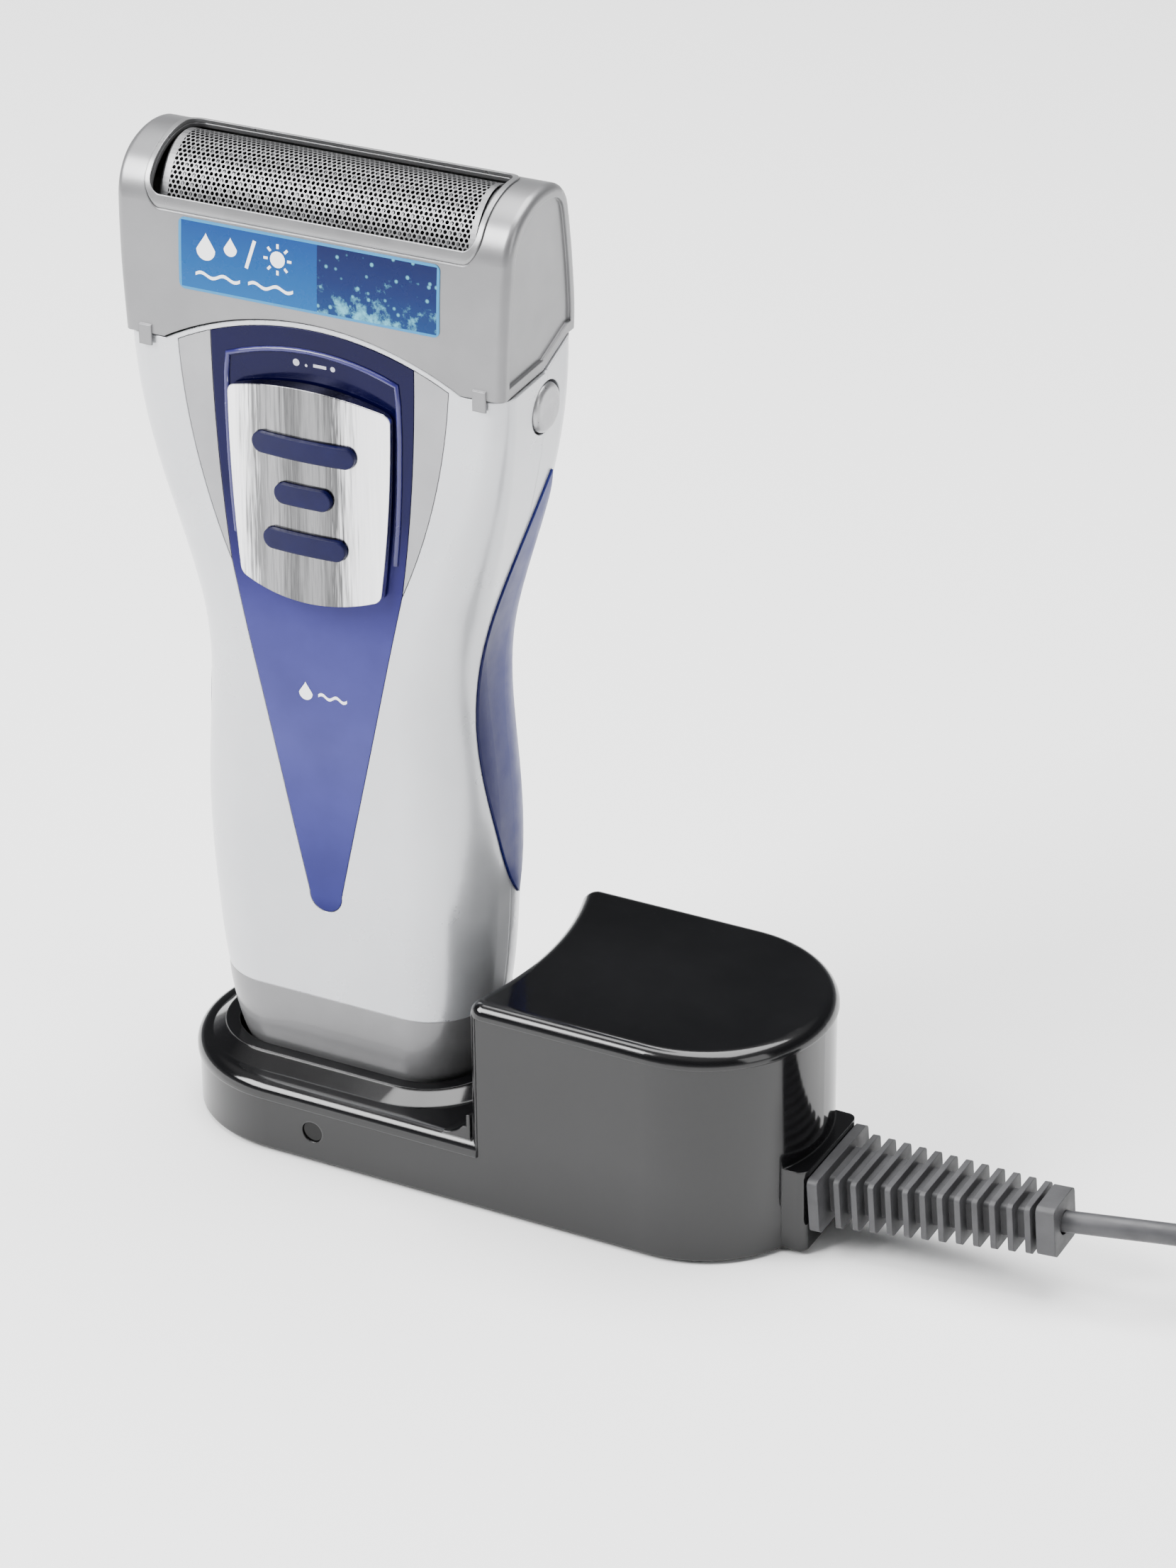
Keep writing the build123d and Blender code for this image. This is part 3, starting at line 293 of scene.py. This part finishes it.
def studio():
    """Bright low horizon and zenith with a dark band between, which glossy tops mirror."""
    world = bpy.data.worlds.new("Studio")
    bpy.context.scene.world = world
    world.use_nodes = True
    tree = world.node_tree
    place = tree.nodes.new("ShaderNodeTexCoord")
    split = tree.nodes.new("ShaderNodeSeparateXYZ")
    link(tree, place.outputs["Generated"], split.inputs["Vector"])
    bands = [(0.0, (1, 1, 1)), (0.12, (0.5, 0.51, 0.53)), (0.3, (0.12, 0.125, 0.13)),
             (0.62, (0.14, 0.145, 0.15)), (0.85, (0.9, 0.9, 0.9))]
    sky = ramp(tree, split.outputs["Z"], bands)
    link(tree, sky, tree.nodes["Background"].inputs["Color"])
    tree.nodes["Background"].inputs["Strength"].default_value = 0.9


def lamp(name, place, target, size, power, colour=(1, 1, 1)):
    light = bpy.data.lights.new(name, "AREA")
    light.shape = "RECTANGLE"
    light.size, light.size_y = size
    light.energy = power
    light.color = colour
    thing = bpy.data.objects.new(name, light)
    thing.location = place
    thing.rotation_euler = (Vector(target) - Vector(place)).to_track_quat("-Z", "Y").to_euler()
    bpy.context.scene.collection.objects.link(thing)


FLOOR_REACH = 3.0


def floor():
    material, tree, shader = start_material("backdrop")
    clouds = noise(tree, 300)
    link(tree, ramp(tree, clouds, [(0.3, (0.86, 0.86, 0.86)), (0.7, (0.88, 0.88, 0.88))]),
         shader.inputs["Base Color"])
    shader.inputs["Roughness"].default_value = 0.7
    mesh = bpy.data.meshes.new("floor")
    corners = [(FLOOR_REACH * x, FLOOR_REACH * y, 0) for x, y in ((-1, -1), (1, -1), (1, 1), (-1, 1))]
    mesh.from_pydata(corners, [], [(0, 1, 2, 3)])
    mesh.materials.append(material)
    plane = bpy.data.objects.new("floor", mesh)
    bpy.context.scene.collection.objects.link(plane)


studio()
floor()
lamp("key", (-0.8, -0.8, 0.95), (0, 0, 0.08), (0.7, 0.7), 46)
lamp("fill", (1.0, -0.35, 0.5), (0, 0, 0.07), (0.4, 0.7), 3)
lamp("top", (0.0, 0.2, 1.3), (0, 0, 0.05), (1.2, 1.0), 44)


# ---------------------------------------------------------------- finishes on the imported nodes

gloss_black = moulding("gloss_black", (0.002, 0.002, 0.0023), (0.0045, 0.0045, 0.005), (0.09, 0.15),
                       coat=0.15, coat_rough=0.04, patch=30, grain=1.2, depth=0.0015, edge=0.4,
                       specular=0.4)
matte_black = moulding("matte_black", (0.012, 0.012, 0.013), (0.022, 0.022, 0.023), (0.5, 0.62),
                       grain=0.3, depth=0.012)
pearl = moulding("pearl_silver_white", (0.47, 0.48, 0.5), (0.53, 0.54, 0.56), (0.26, 0.34), metal=0.5,
                 coat=0.45, coat_rough=0.08, patch=26, grain=0.22, depth=0.0016, edge=0.35)
satin = moulding("satin_silver", (0.175, 0.175, 0.18), (0.215, 0.215, 0.22), (0.3, 0.38), metal=0.62,
                 coat=0.25, coat_rough=0.15, patch=18, grain=0.16, depth=0.003, edge=0.35)
bezel_silver = moulding("bezel_silver", (0.24, 0.24, 0.25), (0.285, 0.285, 0.295), (0.3, 0.38), metal=0.5,
                        coat=0.3, patch=12, grain=0.16, depth=0.003, edge=0.15)
cap_grey = moulding("cap_grey", (0.14, 0.14, 0.143), (0.175, 0.175, 0.18), (0.3, 0.38), metal=0.4,
                    coat=0.35, patch=16, grain=0.2, depth=0.002, edge=0.3)
satin_rim = moulding("satin_rim", (0.2, 0.2, 0.205), (0.245, 0.245, 0.25), (0.26, 0.34), metal=0.6,
                     coat=0.2, patch=10, grain=0.16, depth=0.002, edge=0.2)
relief_rubber = rubber("relief_rubber", (0.03, 0.03, 0.032), (0.05, 0.05, 0.053), (0.48, 0.62), 0.25)
plug_rubber = rubber("plug_rubber", (0.04, 0.04, 0.043), (0.065, 0.065, 0.07), (0.42, 0.55), 0.5)
foot_rubber = rubber("foot_rubber", (0.05, 0.05, 0.052), (0.09, 0.09, 0.092))
seal_rubber = rubber("seal_rubber", (0.02, 0.02, 0.022), (0.035, 0.035, 0.037), (0.45, 0.6), 0.1)
contact_metal = brushed("contact_metal", (0.68, 0.52, 0.26), (0.85, 0.7, 0.42), "Z", (0.16, 0.28))
steel = brushed("plain_steel", (0.42, 0.42, 0.43), (0.6, 0.6, 0.61), "X", (0.24, 0.4), streak=0.2, edge=0.1)
cutting_steel = brushed("cutting_steel", (0.08, 0.08, 0.083), (0.16, 0.16, 0.165), "Z", (0.34, 0.46), edge=0)
copper = brushed("copper_winding", (0.42, 0.13, 0.05), (0.72, 0.32, 0.14), "X", (0.25, 0.4), streak=0.35)
lamination = brushed("iron_laminations", (0.13, 0.12, 0.11), (0.26, 0.25, 0.24), "X", (0.35, 0.5), streak=0.5)
natural = moulding("natural_moulding", (0.62, 0.6, 0.54), (0.7, 0.68, 0.62), (0.4, 0.5))
dark_moulding = moulding("dark_moulding", (0.03, 0.03, 0.032), (0.05, 0.05, 0.053), (0.38, 0.5))
board_green = moulding("board_green", (0.01, 0.09, 0.035), (0.02, 0.14, 0.05), (0.3, 0.42), coat=0.4, patch=5)
cell_sleeve = moulding("cell_sleeve", (0.02, 0.17, 0.07), (0.03, 0.22, 0.09), (0.25, 0.35), coat=0.3)
can_sleeve = moulding("can_sleeve", (0.02, 0.03, 0.12), (0.03, 0.045, 0.17), (0.25, 0.35), coat=0.3)
ferrite = moulding("ferrite", (0.03, 0.03, 0.032), (0.06, 0.06, 0.062), (0.55, 0.7), grain=0.4, depth=0.02)
button_silver = moulding("button_silver", (0.3, 0.3, 0.31), (0.37, 0.37, 0.38), (0.26, 0.34), metal=0.7,
                         coat=0.2, patch=4, grain=0.15, depth=0.003, edge=0.4)
smoked = moulding("smoked_lens", (0.002, 0.002, 0.002), (0.004, 0.004, 0.004), (0.1, 0.2), coat=0.05,
                  patch=1.5, edge=0.15, specular=0.2)

paint(gloss_black, "stand_housing", "stand_top_cover")
paint(matte_black, "stand_base_plate", "cord_tie")
paint(pearl, "front_housing", "rear_housing")
paint(satin, "foil_frame")
paint(bezel_silver, "panel_bezel")
paint(cap_grey, "bottom_cap")
paint(satin_rim, "foil_rim")
paint(relief_rubber, "strain_relief")
paint(plug_rubber, "plug_body")
paint(foot_rubber, "stand_feet")
paint(seal_rubber, "cap_seal", "drive_boot")
paint(contact_metal, "stand_contacts", "charge_terminals", "plug_pins")
paint(steel, "stand_screws", "cap_screws", "battery_tabs", "motor_can", "motor_shaft", "blade_spring")
paint(cutting_steel, "inner_blades")
paint(copper, "transformer_winding")
paint(lamination, "transformer_core", "motor_armature")
paint(natural, "inner_chassis", "motor_end_cap", "eccentric_cam", "drive_bridge")
paint(dark_moulding, "foil_holder", "blade_carrier", "switch_carrier", "drive_post", "drive_deck")
paint(board_green, "charger_board", "control_board")
paint(cell_sleeve, "battery_cells")
paint(can_sleeve, "charger_capacitors")
paint(ferrite, "motor_magnets")
paint(button_silver, "release_button_right", "release_button_left")
paint(smoked, "lamp_lens")


def blue_panel_painted_reflection():
    """Deep blue gloss with a painted reflection: a paler periwinkle band below the switch that fades out again
    at the tip.
    """
    material, tree, shader = start_material("blue_panel_painted_reflection")
    height = axis_value(tree, "Z", 41, 139)
    # Painted reflection: the paler band, about 45 to 100 mm high, stands in for the bright surroundings
    # mirrored in the gloss and fades out at the tip. Above it is the panel's own deep blue.
    stops = [(0.0, (0.003, 0.003, 0.06)), (0.035, (0.018, 0.019, 0.12)), (0.3, (0.04, 0.041, 0.165)),
             (0.5, (0.031, 0.031, 0.145)), (0.6, (0.01, 0.008, 0.075)), (0.72, (0.001, 0.0006, 0.03)),
             (1.0, (0.0008, 0.0004, 0.022))]
    colour = ramp(tree, height, stops)
    clouds = spread(tree, noise(tree, 11), 0.9, 1.12)
    tint = tree.nodes.new("ShaderNodeVectorMath")
    tint.operation = "SCALE"
    link(tree, colour, tint.inputs[0])
    link(tree, clouds, tint.inputs["Scale"])
    link(tree, tint.outputs["Vector"], shader.inputs["Base Color"])
    link(tree, spread(tree, noise(tree, 5), 0.12, 0.2), shader.inputs["Roughness"])
    shader.inputs["Coat Weight"].default_value = 0.06
    shader.inputs["Coat Roughness"].default_value = 0.04
    shader.inputs["Metallic"].default_value = 0.35
    shader.inputs["Specular IOR Level"].default_value = 0.16
    bumps(tree, shader, [(noise(tree, 0.2, 2), 0.0015)], 0.2)
    return material


def grip_blue_painted_shade():
    """Soft blue grip with painted shade: darkest along its front edge and lighter grey-blue towards the rear.
    """
    material, tree, shader = start_material("grip_blue_painted_shade")
    # Painted shade across the grip: dark at the front edge, lighter towards the rear.
    across = axis_value(tree, "Y", -6, 9)
    colour = ramp(tree, across, [(0.0, (0.001, 0.0014, 0.04)), (0.35, (0.003, 0.005, 0.085)),
                                 (0.8, (0.024, 0.03, 0.17)), (1.0, (0.034, 0.042, 0.19))])
    link(tree, colour, shader.inputs["Base Color"])
    link(tree, spread(tree, noise(tree, 4), 0.34, 0.46), shader.inputs["Roughness"])
    shader.inputs["Coat Weight"].default_value = 0.05
    shader.inputs["Coat Roughness"].default_value = 0.2
    shader.inputs["Specular IOR Level"].default_value = 0.2
    bumps(tree, shader, [(noise(tree, 0.22, 2), 0.006)], 0.25)
    return material


paint(blue_panel_painted_reflection(), "front_panel")
grip = grip_blue_painted_shade()
paint(grip, "side_grip_right", "side_grip_left")
rib_blue = moulding("rib_blue", (0.001, 0.001, 0.026), (0.0015, 0.0018, 0.036), (0.34, 0.44), coat=0.03,
                    specular=0.16, patch=5, grain=0.2, depth=0.002, edge=0.4)
paint(rib_blue, "switch_ribs")


def slider_chrome():
    """Bright plated slider, brushed along its height, with painted reflections: dark bands through the middle
    and bright ones at its sides.
    """
    material, tree, shader = start_material("slider_chrome")
    across = axis_value(tree, "X", SHAVER_X - 14, SHAVER_X + 14)
    streaks = noise(tree, 0.5, 3, (1, 1, 0.02), 0.7)
    place = math_node(tree, "ADD", across, spread(tree, streaks, -0.07, 0.07))
    # Painted reflection: the dark and bright bands across the slider stand in for the surroundings mirrored in
    # the chrome.
    reflection_tones = [(0.0, 0.85), (0.1, 0.7), (0.2, 0.12), (0.3, 0.24), (0.42, 0.08), (0.55, 0.2), (0.68, 0.08),
             (0.8, 0.7), (1.0, 0.85)]
    reflection_greys = [(at, (tone, tone, tone * 1.02)) for at, tone in reflection_tones]
    link(tree, ramp(tree, place, reflection_greys), shader.inputs["Base Color"])
    link(tree, spread(tree, streaks, 0.12, 0.24), shader.inputs["Roughness"])
    shader.inputs["Metallic"].default_value = 1.0
    bumps(tree, shader, [(streaks, 0.003)], 0.3)
    return material


paint(slider_chrome(), "switch_slider")


LABEL_Z = 147.2
LABEL_SPLIT = 1.6  # where the water picture starts, right of the middle
LABEL_BORDER = (21.45, 5.1)  # half sizes inside the pale border


def label_print():
    """Printed film: bright blue at the left, darker water picture at the right, pale border."""
    material, tree, shader = start_material("label_print")
    place = tree.nodes.new("ShaderNodeTexCoord")
    split = tree.nodes.new("ShaderNodeSeparateXYZ")
    link(tree, place.outputs["Object"], split.inputs["Vector"])
    x = math_node(tree, "SUBTRACT", split.outputs["X"], SHAVER_X * MM)
    z = math_node(tree, "SUBTRACT", split.outputs["Z"], LABEL_Z * MM)
    height = spread(tree, z, 0, 1, -5.5 * MM, 5.5 * MM)
    left = ramp(tree, height, [(0.0, (0.0, 0.075, 0.24)), (1.0, (0.0, 0.034, 0.16))])
    deep_stops = [(0.0, (0.0, 0.026, 0.11)), (0.5, (0.0, 0.009, 0.07)), (1.0, (0.0, 0.004, 0.048))]
    deep = ramp(tree, height, deep_stops)
    thinning = math_node(tree, "MULTIPLY", height, 0.22)
    spray = math_node(tree, "SUBTRACT", noise(tree, 3.2, 8, rough=0.7), thinning)
    drops = tree.nodes.new("ShaderNodeTexVoronoi")
    drops.inputs["Scale"].default_value = 1 / 1.7
    link(tree, coordinates(tree), drops.inputs["Vector"])
    beads = spread(tree, drops.outputs["Distance"], 1, 0, 0.1, 0.22)
    splash = math_node(tree, "MAXIMUM", spread(tree, spray, 0, 1, 0.46, 0.6),
                       math_node(tree, "MULTIPLY", beads, 0.8))
    picture = tree.nodes.new("ShaderNodeMix")
    picture.data_type = "RGBA"
    link(tree, splash, picture.inputs["Factor"])
    link(tree, deep, picture.inputs["A"])
    picture.inputs["B"].default_value = (0.1, 0.36, 0.46, 1)
    halves = tree.nodes.new("ShaderNodeMix")
    halves.data_type = "RGBA"
    link(tree, math_node(tree, "GREATER_THAN", x, LABEL_SPLIT * MM), halves.inputs["Factor"])
    link(tree, left, halves.inputs["A"])
    link(tree, picture.outputs["Result"], halves.inputs["B"])
    near_side, near_end = [math_node(tree, "GREATER_THAN", math_node(tree, "ABSOLUTE", place), half * MM)
                           for place, half in zip((x, z), LABEL_BORDER)]
    border = tree.nodes.new("ShaderNodeMix")
    border.data_type = "RGBA"
    link(tree, math_node(tree, "MAXIMUM", near_side, near_end), border.inputs["Factor"])
    link(tree, halves.outputs["Result"], border.inputs["A"])
    border.inputs["B"].default_value = (0.03, 0.19, 0.38, 1)
    link(tree, border.outputs["Result"], shader.inputs["Base Color"])
    link(tree, spread(tree, noise(tree, 4), 0.22, 0.32), shader.inputs["Roughness"])
    shader.inputs["Coat Weight"].default_value = 0.05
    shader.inputs["Specular IOR Level"].default_value = 0.15
    bumps(tree, shader, [(noise(tree, 2.5), 0.006)])
    return material


paint(label_print(), "head_label")


# ---------------------------------------------------------------- perforated foil

FOIL_Y, FOIL_Z, FOIL_A, FOIL_B, FOIL_LOW = -0.8, 150.0, 8.3, 12.0, 149.5
FOIL_HALF, MESH_HALF = 26.2, 25.6
PITCH = 0.8
HOLE_SHARE = 0.72  # size of a hole in its cell
PLAIN_FOOT = 1.4  # height without holes at either foot


def foil_profile():
    """Points of the foil's outer line from its front foot over the top to its rear foot, with lengths."""
    start = (FOIL_LOW - FOIL_Z) / FOIL_B
    count = 400
    angles = [start + (pi - 2 * start) * i / count for i in range(count + 1)]
    line = [(FOIL_Y - FOIL_A * cos(a), FOIL_Z + FOIL_B * sin(a)) for a in angles]
    lengths = [0.0]
    for (y0, z0), (y1, z1) in zip(line, line[1:]):
        lengths.append(lengths[-1] + sqrt((y1 - y0) ** 2 + (z1 - z0) ** 2))
    return line, lengths


foil_line, foil_lengths = foil_profile()
FOIL_SPAN = foil_lengths[-1]


def on_foil(x, s, sink=0.0):
    """Point in metres at x along the foil and s millimetres over its arch, sunk inwards."""
    s = min(max(s, 0.0), FOIL_SPAN)
    low, high = 0, len(foil_lengths) - 1
    while high - low > 1:
        middle = (low + high) // 2
        low, high = (middle, high) if foil_lengths[middle] <= s else (low, middle)
    t = (s - foil_lengths[low]) / (foil_lengths[high] - foil_lengths[low])
    (y0, z0), (y1, z1) = foil_line[low], foil_line[high]
    run, rise = y1 - y0, z1 - z0
    size = sqrt(run * run + rise * rise)
    return ((SHAVER_X + x) * MM, (y0 + t * run + sink * rise / size) * MM,
            (z0 + t * rise - sink * run / size) * MM)


def perforated_foil():
    """Thin sheet of hexagonal webs: each cell is a ring of six quads round its hole."""
    build = bmesh.new()
    corners = {}

    def corner(x, s):
        key = (round(x, 2), round(s, 2))
        if key not in corners:
            corners[key] = build.verts.new(on_foil(x, s))
        return corners[key]

    def strip(x0, x1, s0, s1):
        """Plain sheet just outside the webs, from x0 to x1 and s0 to s1."""
        steps = max(2, int((s1 - s0) / 0.7))
        for k in range(steps):
            a, b = s0 + (s1 - s0) * k / steps, s0 + (s1 - s0) * (k + 1) / steps
            places = [on_foil(x, s, -0.02) for x, s in ((x0, a), (x1, a), (x1, b), (x0, b))]
            build.faces.new([build.verts.new(place) for place in places])

    reach = PITCH / sqrt(3)
    hole = HOLE_SHARE * reach
    spokes = [(sin(k * pi / 3), cos(k * pi / 3)) for k in range(6)]
    row_step = 1.5 * reach
    low_s, high_s = PLAIN_FOOT, FOIL_SPAN - PLAIN_FOOT
    rows = int((high_s - low_s) / row_step)
    columns = int(2 * MESH_HALF / PITCH)
    for row in range(rows):
        s = low_s + (row + 0.5) * row_step
        shift = 0.5 * PITCH * (row % 2)
        for column in range(columns):
            x = -MESH_HALF + (column + 0.5) * PITCH + shift
            outer = [corner(x + reach * a, s + reach * b) for a, b in spokes]
            inner = [build.verts.new(on_foil(x + hole * a, s + hole * b)) for a, b in spokes]
            for k in range(6):
                n = (k + 1) % 6
                build.faces.new((outer[k], outer[n], inner[n], inner[k]))
    strip(-FOIL_HALF, -MESH_HALF + 0.5, 0, FOIL_SPAN)
    strip(MESH_HALF - 0.3, FOIL_HALF, 0, FOIL_SPAN)
    strip(-FOIL_HALF, FOIL_HALF, 0, 1.7)
    strip(-FOIL_HALF, FOIL_HALF, FOIL_SPAN - 1.9, FOIL_SPAN)
    bmesh.ops.recalc_face_normals(build, faces=build.faces)
    mesh = bpy.data.meshes.new("foil_mesh")
    build.to_mesh(mesh)
    build.free()
    piece = bpy.data.objects.new("foil_mesh", mesh)
    bpy.context.scene.collection.objects.link(piece)
    solid = piece.modifiers.new("thickness", "SOLIDIFY")
    solid.thickness = 0.1 * MM
    solid.offset = 0
    foil_steel = brushed("foil_steel", (0.16, 0.16, 0.164), (0.225, 0.225, 0.23), "X", (0.4, 0.52), streak=0.3,
                         edge=0)
    mesh.materials.append(foil_steel)
    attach(piece, "foil_unit")
    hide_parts("outer_foil")


perforated_foil()


# ---------------------------------------------------------------- printed marks and the switch's surround

def tree_of(name):
    mesh = nodes[name].data
    return BVHTree.FromPolygons([v.co for v in mesh.vertices], [p.vertices for p in mesh.polygons])


def front_surface(surface, x, z, lift):
    """Point in metres on a node's front, lift millimetres proud, at x from the shaver's middle."""
    origin = Vector(((SHAVER_X + x) * MM, -0.1, z * MM))
    hit, normal, _, _ = surface.ray_cast(origin, Vector((0, 1, 0)))
    if normal.y > 0:
        normal = -normal
    return hit + normal * (lift * MM)


def prints(name, surface, shapes, material, body, lift=0.03):
    """Flat printed shapes: each is a closed list of (x, z) laid on the surface."""
    build = bmesh.new()
    for shape in shapes:
        verts = [build.verts.new(front_surface(surface, x, z, lift)) for x, z in shape]
        build.faces.new(verts)
    bmesh.ops.triangulate(build, faces=build.faces)
    bmesh.ops.recalc_face_normals(build, faces=build.faces)
    mesh = bpy.data.meshes.new(name)
    build.to_mesh(mesh)
    build.free()
    mesh.materials.append(material)
    piece = bpy.data.objects.new(name, mesh)
    bpy.context.scene.collection.objects.link(piece)
    skin = piece.modifiers.new("ink", "SOLIDIFY")
    skin.thickness = 0.02 * MM
    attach(piece, body)


def drop(x, z, size):
    """Water drop, point up."""
    shape = []
    for k in range(24):
        angle = 2 * pi * k / 24
        width = sin(angle) * (0.62 if cos(angle) <= 0 else 0.62 * (1 - cos(angle)) ** 0.85)
        shape.append((x + size * width, z + size * (cos(angle) if cos(angle) > 0 else 0.62 * cos(angle))))
    return shape


def wave(x, z, length, height, thick):
    """Wavy bar with two crests."""
    count = 24
    top = [(x + length * k / count, z + height * sin(4 * pi * k / count) + thick / 2)
           for k in range(count + 1)]
    low = [(px, pz - thick) for px, pz in reversed(top)]
    return top + low


def disc(x, z, radius, count=20):
    return [(x + radius * sin(2 * pi * k / count), z + radius * cos(2 * pi * k / count))
            for k in range(count)]


def ray(x, z, angle, near, far, half):
    """Bar from near to far of a centre, at an angle from straight up."""
    a, b = sin(angle), cos(angle)
    return [(x + a * near - b * half, z + b * near + a * half),
            (x + a * far - b * half, z + b * far + a * half),
            (x + a * far + b * half, z + b * far - a * half),
            (x + a * near + b * half, z + b * near - a * half)]


white_ink = moulding("white_ink", (0.85, 0.86, 0.87), (0.9, 0.9, 0.91), (0.35, 0.45), edge=0)
grey_ink = moulding("grey_ink", (0.4, 0.4, 0.48), (0.46, 0.46, 0.54), (0.35, 0.45), edge=0)
label_skin = tree_of("head_label")
panel_skin = tree_of("front_panel")
SUN_PLACE = (-5.0, 148.9)
sun = [disc(*SUN_PLACE, 1.25)] + [ray(*SUN_PLACE, k * pi / 4, 1.65, 2.35, 0.2) for k in range(8)]
slash = ray(-9.6, 148.9, radians(18), -2.3, 2.3, 0.28)
drops = [drop(-17.2, 148.3, 2.6), drop(-13.0, 149.1, 1.8)]
waves = [wave(x, 144.4, 7.6, 0.32, 0.5) for x in (-19.0, -10.0)]
prints("label_marks", label_skin, [*drops, *sun, slash, *waves], white_ink, "head")
drop_and_wave = [drop(-2.4, 79.4, 1.9), wave(-0.2, 79.4, 5.0, 0.3, 0.5)]
prints("panel_marks", panel_skin, drop_and_wave, white_ink, "shaver")
switch_scale = [disc(-2.6, 133.2, 0.55), disc(-0.9, 133.0, 0.22), ray(1.4, 133.2, pi / 2, -1.1, 1.1, 0.24),
                disc(3.6, 133.2, 0.4)]
prints("switch_marks", panel_skin, switch_scale, grey_ink, "shaver")

TRACK_SIDE = [(13.7, 104), (14.2, 110), (14.55, 117), (14.7, 124), (14.6, 129.5)]
BEAD_RADIUS = 0.42


def surround_line():
    """Open line on the blue panel: up the switch's right side, over its top and down its left side."""
    across = [-14.3 + 28.6 * k / 12 for k in reversed(range(13))]
    top = [(x, 135.2 - 2.6 * (x / 14.3) ** 2) for x in across]
    return TRACK_SIDE + top + [(-x, z) for x, z in reversed(TRACK_SIDE)]


def switch_surround():
    """Raised bead that frames the slider's track on three sides."""
    line = surround_line()
    curve = bpy.data.curves.new("switch_surround", "CURVE")
    curve.dimensions = "3D"
    spline = curve.splines.new("POLY")
    spline.points.add(len(line) - 1)
    for point, (x, z) in zip(spline.points, line):
        point.co = (*front_surface(panel_skin, x, z, 0.05), 1)
    curve.bevel_depth = BEAD_RADIUS * MM
    curve.bevel_resolution = 4
    curve.use_fill_caps = True
    piece = bpy.data.objects.new("switch_surround", curve)
    bpy.context.scene.collection.objects.link(piece)
    surround_blue = moulding("surround_blue", (0.014, 0.012, 0.09), (0.02, 0.018, 0.12), (0.2, 0.28),
                             coat=0.15, patch=6, edge=0)
    curve.materials.append(surround_blue)
    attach(piece, "shaver")


switch_surround()
